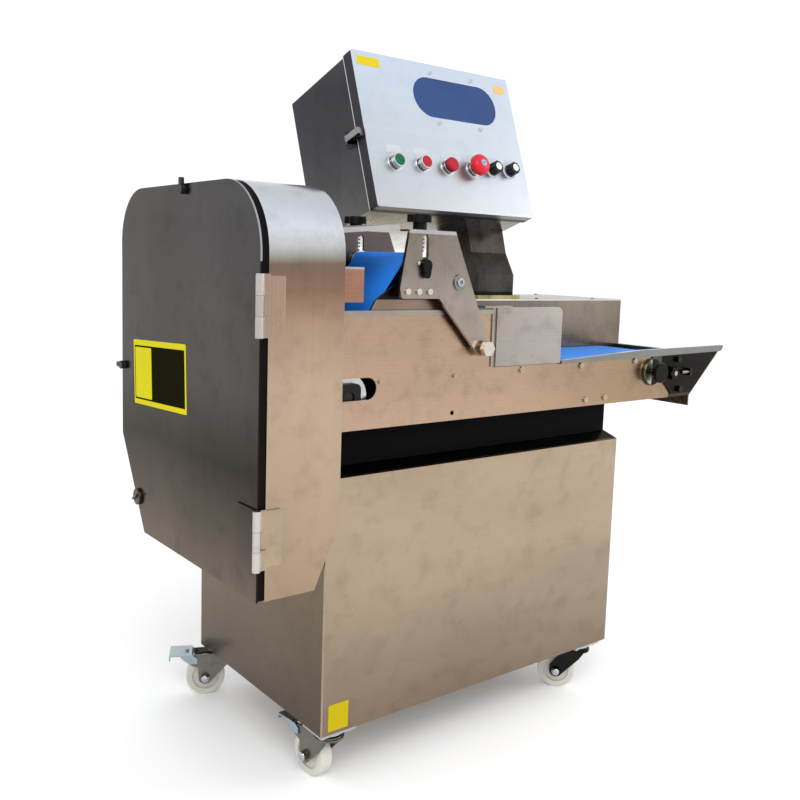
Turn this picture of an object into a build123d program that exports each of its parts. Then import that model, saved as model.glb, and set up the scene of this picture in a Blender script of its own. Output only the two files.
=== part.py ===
from build123d import *
import math
import os

os.makedirs("parts", exist_ok=True)

# ---------------------------------------------------------------------------
# Vegetable cutting machine, millimetres, +Z up, floor at Z = 0.
# +X runs against the flow of the produce (infeed end at +X, knife housing at
# -X), the operator stands at -Y.  Stations along X are measured from the
# press-arm datum and shifted by XC, so that the frame's origin is the middle
# of the machine's footprint on the floor.
# ---------------------------------------------------------------------------
XC = 152.75
# the floor lies this far above the zero of the height stations
ZC = 5.0

# sheet metal
t_sheet = 2.5
t_case = 3.0

# base cabinet
cab_x0, cab_x1 = -300.0, 404.0
cab_y = 220.0
cab_z0, cab_z1 = 105.0, 530.0
deck_rise, deck_run = 11.5, 36.5

# black riser between cabinet and conveyor
ris_x0, ris_x1 = -296.0, 398.0
ris_y0, ris_y1 = -187.0, 212.0
ris_z0, ris_z1 = 541.5, 603.0

# knife housing and its door
hou_x0, hou_x1 = -429.0, -300.0
hou_y = 257.0
hou_z0, hou_z1 = 373.0, 985.0
hou_r_front, hou_r_rear = 108.0, 92.0
hou_ch_y, hou_ch_z = 102.5, 167.5
low_ch_x, low_ch_z = 43.0, 99.0
door_x0, door_x1 = -443.0, -440.0
gasket_x1 = -429.0

# conveyor
front_y0, front_y1 = -214.5, -211.5
wall_y0, wall_y1 = -15.0, -12.0
plate_z0, plate_z1 = 603.0, 794.0
end_x = 648.0
case_z1 = 799.0
drive_x, tail_x, roll_z = -255.0, 572.0, 656.0
roll_r, belt_in_r, belt_out_r = 37.7, 38.0, 40.0
belt_y0, belt_y1 = -205.0, -21.0

# cutter
cut_y, cut_z = 24.0, 690.0
cut_r = 226.0

# press unit
arm_y0, arm_y1 = -230.0, -224.0
piv_x, piv_z = 11.0, 728.0
top_rx, top_rz = -125.0, 868.0
low_rx, low_rz = -236.0, 723.0
back_rx, back_rz = -50.0, 757.0
pr_r, pb_in, pb_out = 17.7, 18.0, 20.0
pb_y0, pb_y1 = -198.0, -52.0

# control box
box_tilt = 19.2
box_w, box_h, box_d, lid_d = 400.0, 308.0, 224.0, 28.0
box_x0, box_y0, box_z0 = -84.0, -42.0, 971.0

# casters
wheel_r, wheel_w = 37.5, 24.0
fork_w = 28.0
trail = 40.0
axle_z = ZC + wheel_r
pedal_x, pedal_z = 64.0, 80.0


def X(v):
    """Station along the machine in the model frame."""
    return v - XC


def pts(p):
    return [(X(a), b) for a, b in p]


def block(x0, x1, y0, y1, z0, z1, mode=Mode.ADD):
    with Locations((X((x0 + x1) / 2), (y0 + y1) / 2, (z0 + z1) / 2)):
        Box(x1 - x0, y1 - y0, z1 - z0, mode=mode)


def prism_xz(points, y0, y1, mode=Mode.ADD):
    """Outline in X and Z, from the plane y1 forward to y0."""
    with BuildSketch(Plane.XZ.offset(-y1)) as s:
        with BuildLine():
            Polyline(*pts(points), close=True)
        make_face()
    extrude(s.sketch, amount=y1 - y0, mode=mode)


def prism_yz(points, x0, x1, mode=Mode.ADD):
    with BuildSketch(Plane.YZ.offset(X(x0))) as s:
        with BuildLine():
            Polyline(*points, close=True)
        make_face()
    extrude(s.sketch, amount=x1 - x0, mode=mode)


def rod_x(x0, x1, y, z, r, mode=Mode.ADD):
    with Locations((X((x0 + x1) / 2), y, z)):
        Cylinder(r, x1 - x0, rotation=(0, 90, 0), mode=mode)


def rod_y(y0, y1, x, z, r, mode=Mode.ADD):
    with Locations((X(x), (y0 + y1) / 2, z)):
        Cylinder(r, y1 - y0, rotation=(90, 0, 0), mode=mode)


def rod_z(z0, z1, x, y, r, mode=Mode.ADD):
    with Locations((X(x), y, (z0 + z1) / 2)):
        Cylinder(r, z1 - z0, mode=mode)


def hex_y(y0, y1, x, z, af, mode=Mode.ADD):
    with BuildSketch(Plane.XZ.offset(-y1)) as s:
        with Locations((X(x), z)):
            RegularPolygon(af / 2, 6, major_radius=False)
    extrude(s.sketch, amount=y1 - y0, mode=mode)


def hex_x(x0, x1, y, z, af, mode=Mode.ADD):
    with BuildSketch(Plane.YZ.offset(X(x0))) as s:
        with Locations((y, z)):
            RegularPolygon(af / 2, 6, major_radius=False)
    extrude(s.sketch, amount=x1 - x0, mode=mode)


def finish(part, name):
    placed = part.part.moved(Location((0, 0, -ZC)))
    placed.label = name
    export_step(placed, "parts/" + name + ".step")


# ===========================================================================
# BASE CABINET
# ===========================================================================
with BuildPart() as cabinet_shell:
    # welded box with a level deck and a sloping front lip
    deck_y = -cab_y + deck_run
    prism_yz(
        [(-cab_y, cab_z0), (cab_y, cab_z0), (cab_y, cab_z1 + deck_rise), (deck_y, cab_z1 + deck_rise),
         (-cab_y, cab_z1)],
        cab_x0,
        cab_x1,
    )
    fillet(cabinet_shell.edges().filter_by(Axis.Z), 3)
    prism_yz(
        [(-cab_y + t_sheet, cab_z0 + t_sheet), (cab_y - t_sheet, cab_z0 + t_sheet),
         (cab_y - t_sheet, cab_z1 + deck_rise - 3), (deck_y, cab_z1 + deck_rise - 3),
         (-cab_y + t_sheet, cab_z1 - 2.2)],
        cab_x0 + t_sheet,
        cab_x1 - t_sheet,
        mode=Mode.SUBTRACT,
    )
    # opening in the deck for the cutter belts
    block(-156, -94, -18, 66, 530, 545, mode=Mode.SUBTRACT)
    # service window in the rear wall
    block(-240, 344, cab_y - 4, cab_y + 4, 165, 480, mode=Mode.SUBTRACT)
    # ventilation slots low in the right wall
    for i in range(5):
        block(cab_x1 - 4, cab_x1 + 4, 40, 140, 170 + 18 * i, 176 + 18 * i, mode=Mode.SUBTRACT)
finish(cabinet_shell, "cabinet_shell")

with BuildPart() as rear_panel:
    # removable service panel with folded edges and a pull slot
    block(-252, 356, cab_y, cab_y + 2, 153, 492)
    fillet(rear_panel.edges().filter_by(Axis.Y), 8)
    with BuildSketch(Plane.XZ.offset(-(cab_y + 2))) as s:
        with Locations((X(52), 440)):
            SlotOverall(120, 26)
    extrude(s.sketch, amount=3, mode=Mode.SUBTRACT)
    for x in (-244, 348):
        for z in (162, 483):
            rod_y(cab_y + 2, cab_y + 5, x, z, 5)
finish(rear_panel, "rear_panel")

with BuildPart() as riser_frame:
    block(ris_x0, ris_x1, ris_y0, ris_y1, ris_z0, ris_z1)
    block(ris_x0 + 3, ris_x1 - 3, ris_y0 + 3, ris_y1 - 3, ris_z0 - 1, ris_z1 + 1, mode=Mode.SUBTRACT)
finish(riser_frame, "riser_frame")

# ===========================================================================
# KNIFE HOUSING, DOOR, HINGES, LATCHES
# ===========================================================================


def housing_outline(inset=0.0, drop=0.0):
    """Outline in Y and Z, moved in by inset; the flat bottom goes down by drop."""
    y, z0, z1 = hou_y - inset, hou_z0 + inset - drop, hou_z1 - inset
    slope = hou_ch_z / hou_ch_y
    yb = hou_y - hou_ch_y
    # chamfer line through (yb, hou_z0) and (hou_y, hou_z0 + hou_ch_z), moved in
    n = math.hypot(hou_ch_y, hou_ch_z)
    oy, oz = -inset * hou_ch_z / n, inset * hou_ch_y / n

    def line_y(z):
        return yb + oy + (z - (hou_z0 + oz)) / slope

    def line_z(yy):
        return hou_z0 + oz + (yy - (yb + oy)) * slope

    with BuildSketch(Plane.YZ) as s:
        with BuildLine():
            Polyline((-y, z0), (line_y(z0), z0), (y, line_z(y)), (y, z1), (-y, z1), close=True)
        make_face()
        front = s.vertices().group_by(Axis.Y)[-1].sort_by(Axis.X)[0]
        fillet(front, hou_r_front - inset)
        rear = s.vertices().filter_by_position(Axis.X, y - 0.5, y + 0.5).sort_by(Axis.Y)[-1]
        fillet(rear, hou_r_rear - inset)
    return s.sketch


def put(sketch, x0, x1, mode=Mode.ADD):
    extrude(sketch.moved(Location((X(x0), 0, 0))), amount=x1 - x0, mode=mode)


with BuildPart() as knife_housing:
    put(housing_outline(), hou_x0, hou_x1)
    # sloping inner bottom corner
    prism_xz(
        [(hou_x1 - low_ch_x, hou_z0), (hou_x1, hou_z0 + low_ch_z), (hou_x1 + 5, hou_z0 + low_ch_z),
         (hou_x1 + 5, hou_z0 - 5), (hou_x1 - low_ch_x - 2.2, hou_z0 - 5)],
        -hou_y - 5, hou_y + 5, mode=Mode.SUBTRACT,
    )
    cavity_a = extrude(housing_outline(3.0, 8.0).moved(Location((X(hou_x0 - 1), 0, 0))),
                       amount=hou_x1 - 3 - hou_x0 + 1, mode=Mode.PRIVATE)
    with BuildSketch(Plane.XZ.offset(-400)) as cs:
        with BuildLine():
            Polyline(*pts([
                (hou_x0 - 2, hou_z0 - 10),
                (hou_x1 - low_ch_x - 3.3 - 4.3, hou_z0 - 10),
                (hou_x1 - 3, hou_z0 + low_ch_z + 7.6 - 7.0),
                (hou_x1 - 3, hou_z1 + 5),
                (hou_x0 - 2, hou_z1 + 5)]), close=True)
        make_face()
    cavity_b = extrude(cs.sketch, amount=800, mode=Mode.PRIVATE)
    add(cavity_a & cavity_b, mode=Mode.SUBTRACT)
    # feed throat and shaft hole in the inner wall
    block(hou_x1 - 4, hou_x1 + 1, -208, -18, 697, 790, mode=Mode.SUBTRACT)
    rod_x(hou_x1 - 4, hou_x1 + 1, cut_y, cut_z, 19, mode=Mode.SUBTRACT)
finish(knife_housing, "knife_housing")

# door pan with both moving hinge leaves and their knuckles
hinge_x, hinge_y = -447.0, -263.845
knuckle_r = 6.0
hinge_spans = [(760.0, 850.0), (423.0, 513.0)]
pin_r = 3.0
# latch centres (Y, Z) and the direction in which each finger points outwards
latch_at = [(-8.0, 975.5, 90.0), (247.5, 668.0, 0.0), (180.0, 434.0, -31.5)]
with BuildPart() as housing_door:
    put(housing_outline(), door_x0, door_x1)
    for z0, z1 in hinge_spans:
        # leaf on the door's face
        block(door_x0 - 3, door_x0, -251, -202, z0 + 1, z1 - 1)
        # middle knuckle and its web
        third = (z1 - z0) / 3
        rod_z(z0 + third + 0.4, z1 - third - 0.4, hinge_x, hinge_y, knuckle_r)
        block(door_x0 - 3, door_x0, -262, -251, z0 + third + 0.4, z1 - third - 0.4)
        rod_z(z0 + third, z1 - third, hinge_x, hinge_y, pin_r + 0.05, mode=Mode.SUBTRACT)
    # holes of the three wing latches
    for y, z, _ in latch_at:
        rod_x(door_x0 - 1, door_x1 + 1, y, z, 3.56, mode=Mode.SUBTRACT)
finish(housing_door, "housing_door")

with BuildPart() as door_gasket:
    put(housing_outline(1.5), door_x1, gasket_x1)
    put(housing_outline(5.5), door_x1 - 1, gasket_x1 + 1, mode=Mode.SUBTRACT)
finish(door_gasket, "door_gasket")

with BuildPart() as hinge_brackets:
    # fixed leaves on the housing's front wall, outer knuckles and pins
    for z0, z1 in hinge_spans:
        third = (z1 - z0) / 3
        with BuildSketch(Plane.XZ.offset(hou_y)) as s:
            with Locations((X((-438 - 403) / 2), (z0 + z1) / 2)):
                Rectangle(35, z1 - z0 - 6)
            fillet(s.vertices().group_by(Axis.X)[-1], 3)
        extrude(s.sketch, amount=3)
        for a, b in ((z0, z0 + third), (z1 - third, z1)):
            rod_z(a, b, hinge_x, hinge_y, knuckle_r)
            block(hinge_x, -438, -hou_y - 7, -hou_y - 4.2, a, b)
            block(-438.5, -430, -hou_y - 7, -hou_y - 2, a, b)
        rod_z(z0, z1, hinge_x, hinge_y, pin_r)
finish(hinge_brackets, "hinge_brackets")


def finger_latch(name, y, z, turn):
    """Stem through the door, round body and one finger that points over the edge."""
    with BuildPart() as latch:
        rod_x(-446, -436, y, z, 3.5)
        rod_x(-438.5, -436, y, z, 3.9)
        rod_x(-451, -443.3, y, z, 7.5)
        a = math.radians(turn)
        with BuildSketch(Plane.YZ.offset(X(-451))) as finger:
            with Locations(Location((y + 9.5 * math.cos(a), z + 9.5 * math.sin(a), 0), turn)):
                RectangleRounded(19, 9, 3)
        extrude(finger.sketch, amount=6)
    finish(latch, name)


def disc_latch(name, y, z, turn):
    """Round quarter-turn fastener with a grip rib."""
    with BuildPart() as latch:
        rod_x(-446, -436, y, z, 3.5)
        rod_x(-438.5, -436, y, z, 3.9)
        rod_x(-448.5, -443.3, y, z, 15)
        fillet(latch.faces().sort_by(Axis.X)[0].edges(), 2)
        with BuildSketch(Plane.YZ.offset(X(-452))) as rib:
            with Locations(Location((y, z, 0), turn)):
                RectangleRounded(22, 4, 1.5)
        extrude(rib.sketch, amount=4)
    finish(latch, name)


finger_latch("latch_top", *latch_at[0])
finger_latch("latch_rear", *latch_at[1])
disc_latch("latch_lower", *latch_at[2])

# ===========================================================================
# CONVEYOR FRAME
# ===========================================================================
with BuildPart() as conveyor_front_plate:
    prism_xz(
        [(-300, plate_z0), (-300, plate_z1), (52, plate_z1), (52, 691), (231, 691), (752, 698.2),
         (648, plate_z0)],
        front_y0, front_y1,
    )
    # rolled lip along the tall part and along the infeed part
    block(-300, 43.5, front_y0 - 2.5, front_y0, plate_z1 - 8, plate_z1)
    prism_xz(
        [(226, 689.5), (750, 696.5), (756.5, 702), (758.5, 709.5), (470, 708), (226, 696.5)],
        front_y0 - 5, front_y0,
    )
    prism_xz(
        [(226, 693), (748, 698), (757, 709.5), (470, 708), (226, 696.5)],
        front_y0, front_y1,
    )
    # oblong access slot beside the knife housing
    with BuildSketch(Plane.XZ.offset(-front_y1)) as s:
        with Locations((X(-246), 669)):
            SlotOverall(82, 36)
    extrude(s.sketch, amount=3, mode=Mode.SUBTRACT)
    # shaft holes: tail roller and press pivot, and one spare hole
    rod_y(front_y0 - 8, front_y1 + 1, tail_x, roll_z, 10, mode=Mode.SUBTRACT)
    rod_y(front_y0 - 8, front_y1 + 1, -41, 616, 4, mode=Mode.SUBTRACT)
    rod_y(front_y0 - 8, front_y1 + 1, piv_x, piv_z, 8.05, mode=Mode.SUBTRACT)
finish(conveyor_front_plate, "conveyor_front_plate")

with BuildPart() as drive_casing:
    block(hou_x1, end_x, wall_y0, cab_y, plate_z0, case_z1)
    fillet(drive_casing.edges().filter_by(Axis.Z).group_by(Axis.Y)[-1], 6)
    block(hou_x1 + 3, end_x - 3, wall_y1, cab_y - 3, plate_z0 + 3, case_z1 + 1, mode=Mode.SUBTRACT)
    # pan under the conveyor, one sheet with the casing's floor
    block(hou_x1, end_x - 3, front_y1, wall_y0, plate_z0, plate_z0 + 3)
    # opening for the cutter belts in the floor
    block(-150, -100, -8, 58, plate_z0 - 1, plate_z0 + 4, mode=Mode.SUBTRACT)
    # shaft holes
    rod_x(hou_x1 - 1, hou_x1 + 4, cut_y, cut_z, 19, mode=Mode.SUBTRACT)
    rod_y(wall_y0 - 1, wall_y1 + 1, drive_x, roll_z, 12, mode=Mode.SUBTRACT)
    rod_y(wall_y0 - 1, wall_y1 + 1, tail_x, roll_z, 10, mode=Mode.SUBTRACT)
finish(drive_casing, "drive_casing")

with BuildPart() as casing_cover:
    block(hou_x1, end_x, wall_y0, cab_y, case_z1, case_z1 + 3)
    for x in (-250, -120, 20, 155, 377, 560):
        rod_z(case_z1 + 3, case_z1 + 5.5, x, wall_y0 + 9, 5)
    for x in (-250, 20, 377, 600):
        rod_z(case_z1 + 3, case_z1 + 5.5, x, cab_y - 10, 5)
finish(casing_cover, "casing_cover")

with BuildPart() as slider_bed:
    # slotted-in bed under the carrying run, and the infeed end plate
    block(-212, 529, front_y1, wall_y0, 689, 693.7)
    for x in (-170, 160, 480):
        block(x - 12, x + 12, front_y1, wall_y0, 664, 689)
    block(end_x - 3, end_x, front_y1, wall_y0, 580, 699)
    block(end_x - 3, end_x, front_y0, front_y1, 580, plate_z0)
    block(end_x - 14, end_x - 3, front_y1, wall_y0, 697, 699)
finish(slider_bed, "slider_bed")

with BuildPart() as guide_plate:
    # light side guard at the step of the front plate, with its T bracket
    with BuildSketch(Plane.XZ.offset(216.7)) as s:
        with Locations((X(137.5), 745)):
            Rectangle(169, 105)
        fillet(s.vertices().group_by(Axis.X)[-1].sort_by(Axis.Y)[-1], 12)
    extrude(s.sketch, amount=2.5)
    block(44, 70, -216.7, front_y0, 692.5, 797)
    block(16, 84, -226, -205, 797.5, 800.5)
    block(44, 56, -219.2, front_y0, 797, 797.5)
finish(guide_plate, "guide_plate")

with BuildPart() as tail_bracket:
    prism_xz(
        [(508, 692.5), (741, 695.6), (650, 610), (579, 610), (549, 637), (508, 637)],
        front_y0 - 3, front_y0,
    )
    rod_y(front_y0 - 3, front_y0, 508, 661, 29)
    rod_y(front_y0 - 7, front_y0 - 3, 508, 661, 27)
    # thin disc standing off on its spindle
    rod_y(front_y0 - 23, front_y0 - 7, 508, 661, 7)
    rod_y(front_y0 - 28, front_y0 - 23, 508, 661, 21)
    fillet(tail_bracket.faces().sort_by(Axis.Y)[0].edges(), 2)
    rod_y(front_y0 - 4, front_y0 + 1, tail_x, roll_z, 10, mode=Mode.SUBTRACT)
finish(tail_bracket, "tail_bracket")

with BuildPart() as throat_guards:
    # side guard beside the press belt
    block(-300, -235, -214.5, -212, 807, 862)
    block(-300, -235, -212, -202, 859.5, 862)
    # cover above the throat: rising slightly towards the press arm
    prism_xz([(-300, 917), (-168, 929), (-168, 931.5), (-300, 919.5)], -212, -12.5)
    prism_xz([(-300, 911.5), (-168, 923.5), (-168, 931.5), (-300, 919.5)], -214.5, -212)
    # rear guard down to the casing
    prism_xz([(-300, 802), (-170, 802), (-170, 928.9), (-300, 917.1)], -15, -12.5)
finish(throat_guards, "throat_guards")

# ===========================================================================
# FEED BELT AND ROLLERS
# ===========================================================================


def loop_xz(stations, radius, y0, y1, mode=Mode.ADD):
    """Solid inside a belt line round the given circles, listed anticlockwise."""
    outline = None
    with BuildSketch(Plane.XZ.offset(-y1)) as s:
        for (x, z) in stations:
            with Locations((X(x), z)):
                Circle(radius)
        make_hull()
    extrude(s.sketch, amount=y1 - y0, mode=mode)


with BuildPart() as feed_belt:
    loop_xz([(drive_x, roll_z), (tail_x, roll_z)], belt_out_r, belt_y0, belt_y1)
    loop_xz([(drive_x, roll_z), (tail_x, roll_z)], belt_in_r, belt_y0 - 1, belt_y1 + 1, mode=Mode.SUBTRACT)
finish(feed_belt, "feed_belt")

with BuildPart() as feed_drive_roller:
    rod_y(belt_y0 + 1, belt_y1 - 1, drive_x, roll_z, roll_r)
    rod_y(front_y1 + 3, 106, drive_x, roll_z, 10)
finish(feed_drive_roller, "feed_drive_roller")

with BuildPart() as feed_tail_roller:
    rod_y(belt_y0 + 1, belt_y1 - 1, tail_x, roll_z, roll_r)
    rod_y(-222, -4, tail_x, roll_z, 8)
    # lobed hand knob on the axle's end
    with BuildSketch(Plane.XZ.offset(221)) as s:
        with Locations((X(tail_x), roll_z)):
            Circle(11.5)
            with PolarLocations(11, 6):
                Circle(4)
    extrude(s.sketch, amount=9)
    rod_y(-232, -230, tail_x, roll_z, 5)
finish(feed_tail_roller, "feed_tail_roller")

# ===========================================================================
# CUTTER
# ===========================================================================
with BuildPart() as main_shaft:
    rod_x(-384, -98, cut_y, cut_z, 15)
    # driven pulley, two grooves
    with BuildSketch(Plane.XZ.offset(-cut_y)) as s:
        with BuildLine():
            Polyline(
                (X(-142), cut_z + 14), (X(-142), cut_z + 28), (X(-139), cut_z + 28), (X(-136.5), cut_z + 22.5),
                (X(-130.5), cut_z + 22.5), (X(-128), cut_z + 28), (X(-122), cut_z + 28), (X(-119.5), cut_z + 22.5),
                (X(-113.5), cut_z + 22.5), (X(-111), cut_z + 28), (X(-108), cut_z + 28), (X(-108), cut_z + 14),
                close=True,
            )
        make_face()
    revolve(s.sketch, axis=Axis((X(0), cut_y, cut_z), (1, 0, 0)))
    # end nut, a separate piece on the shaft's end
    hex_x(-396, -384, cut_y, cut_z, 36)
finish(main_shaft, "main_shaft")

with BuildPart() as cutter_wheel:
    rod_x(-384, -330, cut_y, cut_z, 30)
    rod_x(-336, -330, cut_y, cut_z, 46)
    # rim and two broad arms
    with BuildSketch(Plane.YZ.offset(X(-330))) as s:
        with Locations((cut_y, cut_z)):
            Circle(cut_r)
            Circle(cut_r - 14, mode=Mode.SUBTRACT)
            Circle(62)
        with Locations(Location((cut_y, cut_z, 0), 25)):
            Rectangle(2 * cut_r - 16, 52)
    extrude(s.sketch, amount=6)
    rod_x(-385, -323, cut_y, cut_z, 15.0, mode=Mode.SUBTRACT)
finish(cutter_wheel, "cutter_wheel")

with BuildPart() as cutter_blades:
    # two sickle blades bolted on the arms, edges leading
    for a in (25, 205):
        with BuildSketch(Plane.YZ.offset(X(-324))) as s:
            with BuildLine():
                ThreePointArc((34, -22), (130, -58), (210, -8))
                Line((210, -8), (210, 16))
                ThreePointArc((210, 16), (130, 6), (34, 24))
                Line((34, 24), (34, -22))
            make_face()
        flat = s.sketch.rotate(Axis((0, 0, 0), (1, 0, 0)), a).moved(Location((0, cut_y, cut_z)))
        extrude(flat, amount=5)
        for r in (90, 140, 190):
            yy = cut_y + r * math.cos(math.radians(a))
            zz = cut_z + r * math.sin(math.radians(a))
            rod_x(-319, -316, yy, zz, 7)
finish(cutter_blades, "cutter_blades")

with BuildPart() as shaft_bearings:
    # cutter shaft: flange bearing behind the housing wall, pedestal further back
    with BuildSketch(Plane.YZ.offset(X(-297))) as s:
        with Locations((cut_y, cut_z)):
            Circle(30)
            Circle(15.05, mode=Mode.SUBTRACT)
    extrude(s.sketch, amount=16)
    with BuildSketch(Plane.YZ.offset(X(-188))) as s:
        with Locations((cut_y, cut_z)):
            Circle(30)
        with Locations((cut_y, (606 + cut_z) / 2)):
            Rectangle(46, cut_z - 606)
        with Locations((cut_y + 4, 612)):
            Rectangle(72, 12)
        with Locations((cut_y, cut_z)):
            Circle(15.05, mode=Mode.SUBTRACT)
    extrude(s.sketch, amount=26)
    # feed drive roller: block inside the front plate and block behind the wall
    for y0, y1 in ((front_y1, -206.5), (wall_y1, wall_y1 + 14)):
        with BuildSketch(Plane.XZ.offset(-y1)) as s:
            with Locations((X(drive_x), roll_z)):
                RectangleRounded(44, 44, 10)
                Circle(10.05, mode=Mode.SUBTRACT)
        extrude(s.sketch, amount=y1 - y0)
    # tail roller: bushes in the front plate and in the wall
    for y0, y1 in ((front_y0 - 5, front_y1 + 3), (wall_y0 - 3, wall_y1 + 8)):
        with BuildSketch(Plane.XZ.offset(-y1)) as s:
            with Locations((X(tail_x), roll_z)):
                Circle(9.9)
                Circle(8.05, mode=Mode.SUBTRACT)
        extrude(s.sketch, amount=y1 - y0)
finish(shaft_bearings, "shaft_bearings")

# ===========================================================================
# DRIVES INSIDE THE CABINET
# ===========================================================================
mot_y, mot_z = cut_y, 262.0
with BuildPart() as motor_pulley:
    with BuildSketch(Plane.XZ.offset(-mot_y)) as s:
        with BuildLine():
            Polyline(
                (X(-142), mot_z + 9), (X(-142), mot_z + 20), (X(-139), mot_z + 20), (X(-136.5), mot_z + 14.5),
                (X(-130.5), mot_z + 14.5), (X(-128), mot_z + 20), (X(-122), mot_z + 20), (X(-119.5), mot_z + 14.5),
                (X(-113.5), mot_z + 14.5), (X(-111), mot_z + 20), (X(-108), mot_z + 20), (X(-108), mot_z + 9),
                close=True,
            )
        make_face()
    revolve(s.sketch, axis=Axis((X(0), mot_y, mot_z), (1, 0, 0)))
    rod_x(-146, -93, mot_y, mot_z, 9)
finish(motor_pulley, "motor_pulley")

with BuildPart() as cutter_belts:
    for x in (-133.5, -116.5):
        with BuildSketch(Plane.YZ.offset(X(x - 2.8))) as s:
            with Locations((cut_y, cut_z)):
                Circle(28.4)
            with Locations((mot_y, mot_z)):
                Circle(20.4)
            make_hull()
        outer = extrude(s.sketch, amount=5.6, mode=Mode.PRIVATE)
        with BuildSketch(Plane.YZ.offset(X(x - 4))) as s2:
            with Locations((cut_y, cut_z)):
                Circle(22.9)
            with Locations((mot_y, mot_z)):
                Circle(14.9)
            make_hull()
        inner = extrude(s2.sketch, amount=8, mode=Mode.PRIVATE)
        add(outer - inner)
finish(cutter_belts, "cutter_belts")

# ===========================================================================
# PRESS UNIT
# ===========================================================================
with BuildPart() as press_arm:
    with BuildSketch(Plane.XZ.offset(-arm_y1)) as s:
        with BuildLine():
            Polyline(*pts([
                (-158, 924.5), (-61, 924.5), (-48, 895), (24, 737), (20, 719), (-1, 719),
                (-92, 813.5), (-171, 813.5), (-175, 830)]), close=True)
        make_face()
    extrude(s.sketch, amount=arm_y1 - arm_y0)
    rod_y(arm_y0, arm_y1, piv_x, piv_z, 15)
    # folded top flange, turned inwards
    block(-157, -62, arm_y1, arm_y1 + 22, 921.5, 924.5)
    # folded right flange behind the sloping edge
    block(-66, -60, arm_y1, arm_y1 + 14, 880, 921.5)
    # guide slot
    with BuildSketch(Plane.XZ.offset(-arm_y1)) as s:
        with Locations(Location((X(-125), 882.5, 0), 90)):
            SlotOverall(70, 12)
    extrude(s.sketch, amount=arm_y1 - arm_y0, mode=Mode.SUBTRACT)
    rod_y(arm_y0 - 1, arm_y1 + 1, piv_x, piv_z, 8.05, mode=Mode.SUBTRACT)
    # hole of the adjusting screw in the top flange
    rod_z(920, 926, -125, -213, 5.2, mode=Mode.SUBTRACT)
    small = press_arm.edges().filter_by(Axis.Y).filter_by(
        lambda e: abs(e.center().Z - 813.5) < 0.2 and e.center().X < X(-165))
    fillet(small, 7)
finish(press_arm, "press_arm")

inner_f = (-208.0, -204.0)
inner_r = (-46.0, -42.0)
front_outline = [(-249, 711), (-251, 735), (-206, 810), (-171, 834), (-40, 834), (-28, 775), (-14, 744),
                 (-40, 744), (-222, 711)]
rear_outline = [(-249, 711), (-251, 735), (-206, 810), (-171, 834), (-158, 924.5), (-61, 924.5), (-30, 850),
                (-28, 775), (27, 744), (27, 713), (4, 713), (-40, 744), (-222, 711)]
with BuildPart() as press_frame:
    prism_xz(front_outline, *inner_f)
    prism_xz([(-66, 830), (-38, 830), (-38, 856), (-66, 856)], *inner_f)
    prism_xz(rear_outline, *inner_r)
    # flange and guide slot of the rear cheek
    block(-157, -62, inner_r[1], -20, 921.5, 924.5)
    with BuildSketch(Plane.XZ.offset(-inner_r[1])) as s:
        with Locations(Location((X(-125), 882.5, 0), 90)):
            SlotOverall(70, 16)
    extrude(s.sketch, amount=4, mode=Mode.SUBTRACT)
    rod_z(920, 926, -125, -31.5, 5.2, mode=Mode.SUBTRACT)
    # spacers between the arm and the front cheek, cross bar between the cheeks
    for x in (-160, -137, -114):
        rod_y(arm_y1, inner_f[0], x, 825, 5)
    rod_y(arm_y1, inner_f[0], -52, 842, 11)
    rod_y(inner_f[1], inner_r[0], -52, 842, 11)
    # bores of the rollers and of the rear pivot
    for y0, y1 in (inner_f, inner_r):
        for x, z in ((low_rx, low_rz), (back_rx, back_rz)):
            rod_y(y0 - 1, y1 + 1, x, z, 6.05, mode=Mode.SUBTRACT)
    rod_y(inner_r[0] - 1, inner_r[1] + 1, piv_x, piv_z, 8.05, mode=Mode.SUBTRACT)
    # bolt heads on the outside of the arm, separate from the frame
    for x in (-160, -137, -114):
        rod_y(arm_y0 - 3.5, arm_y0, x, 825, 5)
    # broad washer with a socket screw
    rod_y(arm_y0 - 2.5, arm_y0, -48.7, 841, 13.5)
    rod_y(arm_y0 - 4.5, arm_y0 - 2.5, -48.7, 841, 7.5)
    rod_y(arm_y0 - 5.5, arm_y0 - 3, -48.7, 841, 3.6, mode=Mode.SUBTRACT)
    rod_y(arm_y0 - 2.5, arm_y0, -139, 871, 3)
finish(press_frame, "press_frame")

press_stations = [(low_rx, low_rz), (back_rx, back_rz), (top_rx, top_rz)]
with BuildPart() as press_belt:
    loop_xz(press_stations, pb_out, pb_y0, pb_y1)
    loop_xz(press_stations, pb_in, pb_y0 - 1, pb_y1 + 1, mode=Mode.SUBTRACT)
finish(press_belt, "press_belt")


def press_roller(name, x, z, y0, y1):
    with BuildPart() as roller:
        rod_y(pb_y0 + 1, pb_y1 - 1, x, z, pr_r)
        rod_y(y0, y1, x, z, 6)
    finish(roller, name)


press_roller("press_roller_front", low_rx, low_rz, inner_f[0] + 0.5, inner_r[1] - 0.5)
press_roller("press_roller_rear", back_rx, back_rz, inner_f[0] + 0.5, inner_r[1] - 0.5)
with BuildPart() as press_roller_top:
    rod_y(pb_y0 + 1, pb_y1 - 1, top_rx, top_rz, pr_r)
    rod_y(-222.0, -20.5, top_rx, top_rz, 6)
    # guide disc that keeps the belt from wandering off the far end
    rod_y(pb_y1 + 1, pb_y1 + 4, top_rx, top_rz, 21.5)
finish(press_roller_top, "press_roller_top")

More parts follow.
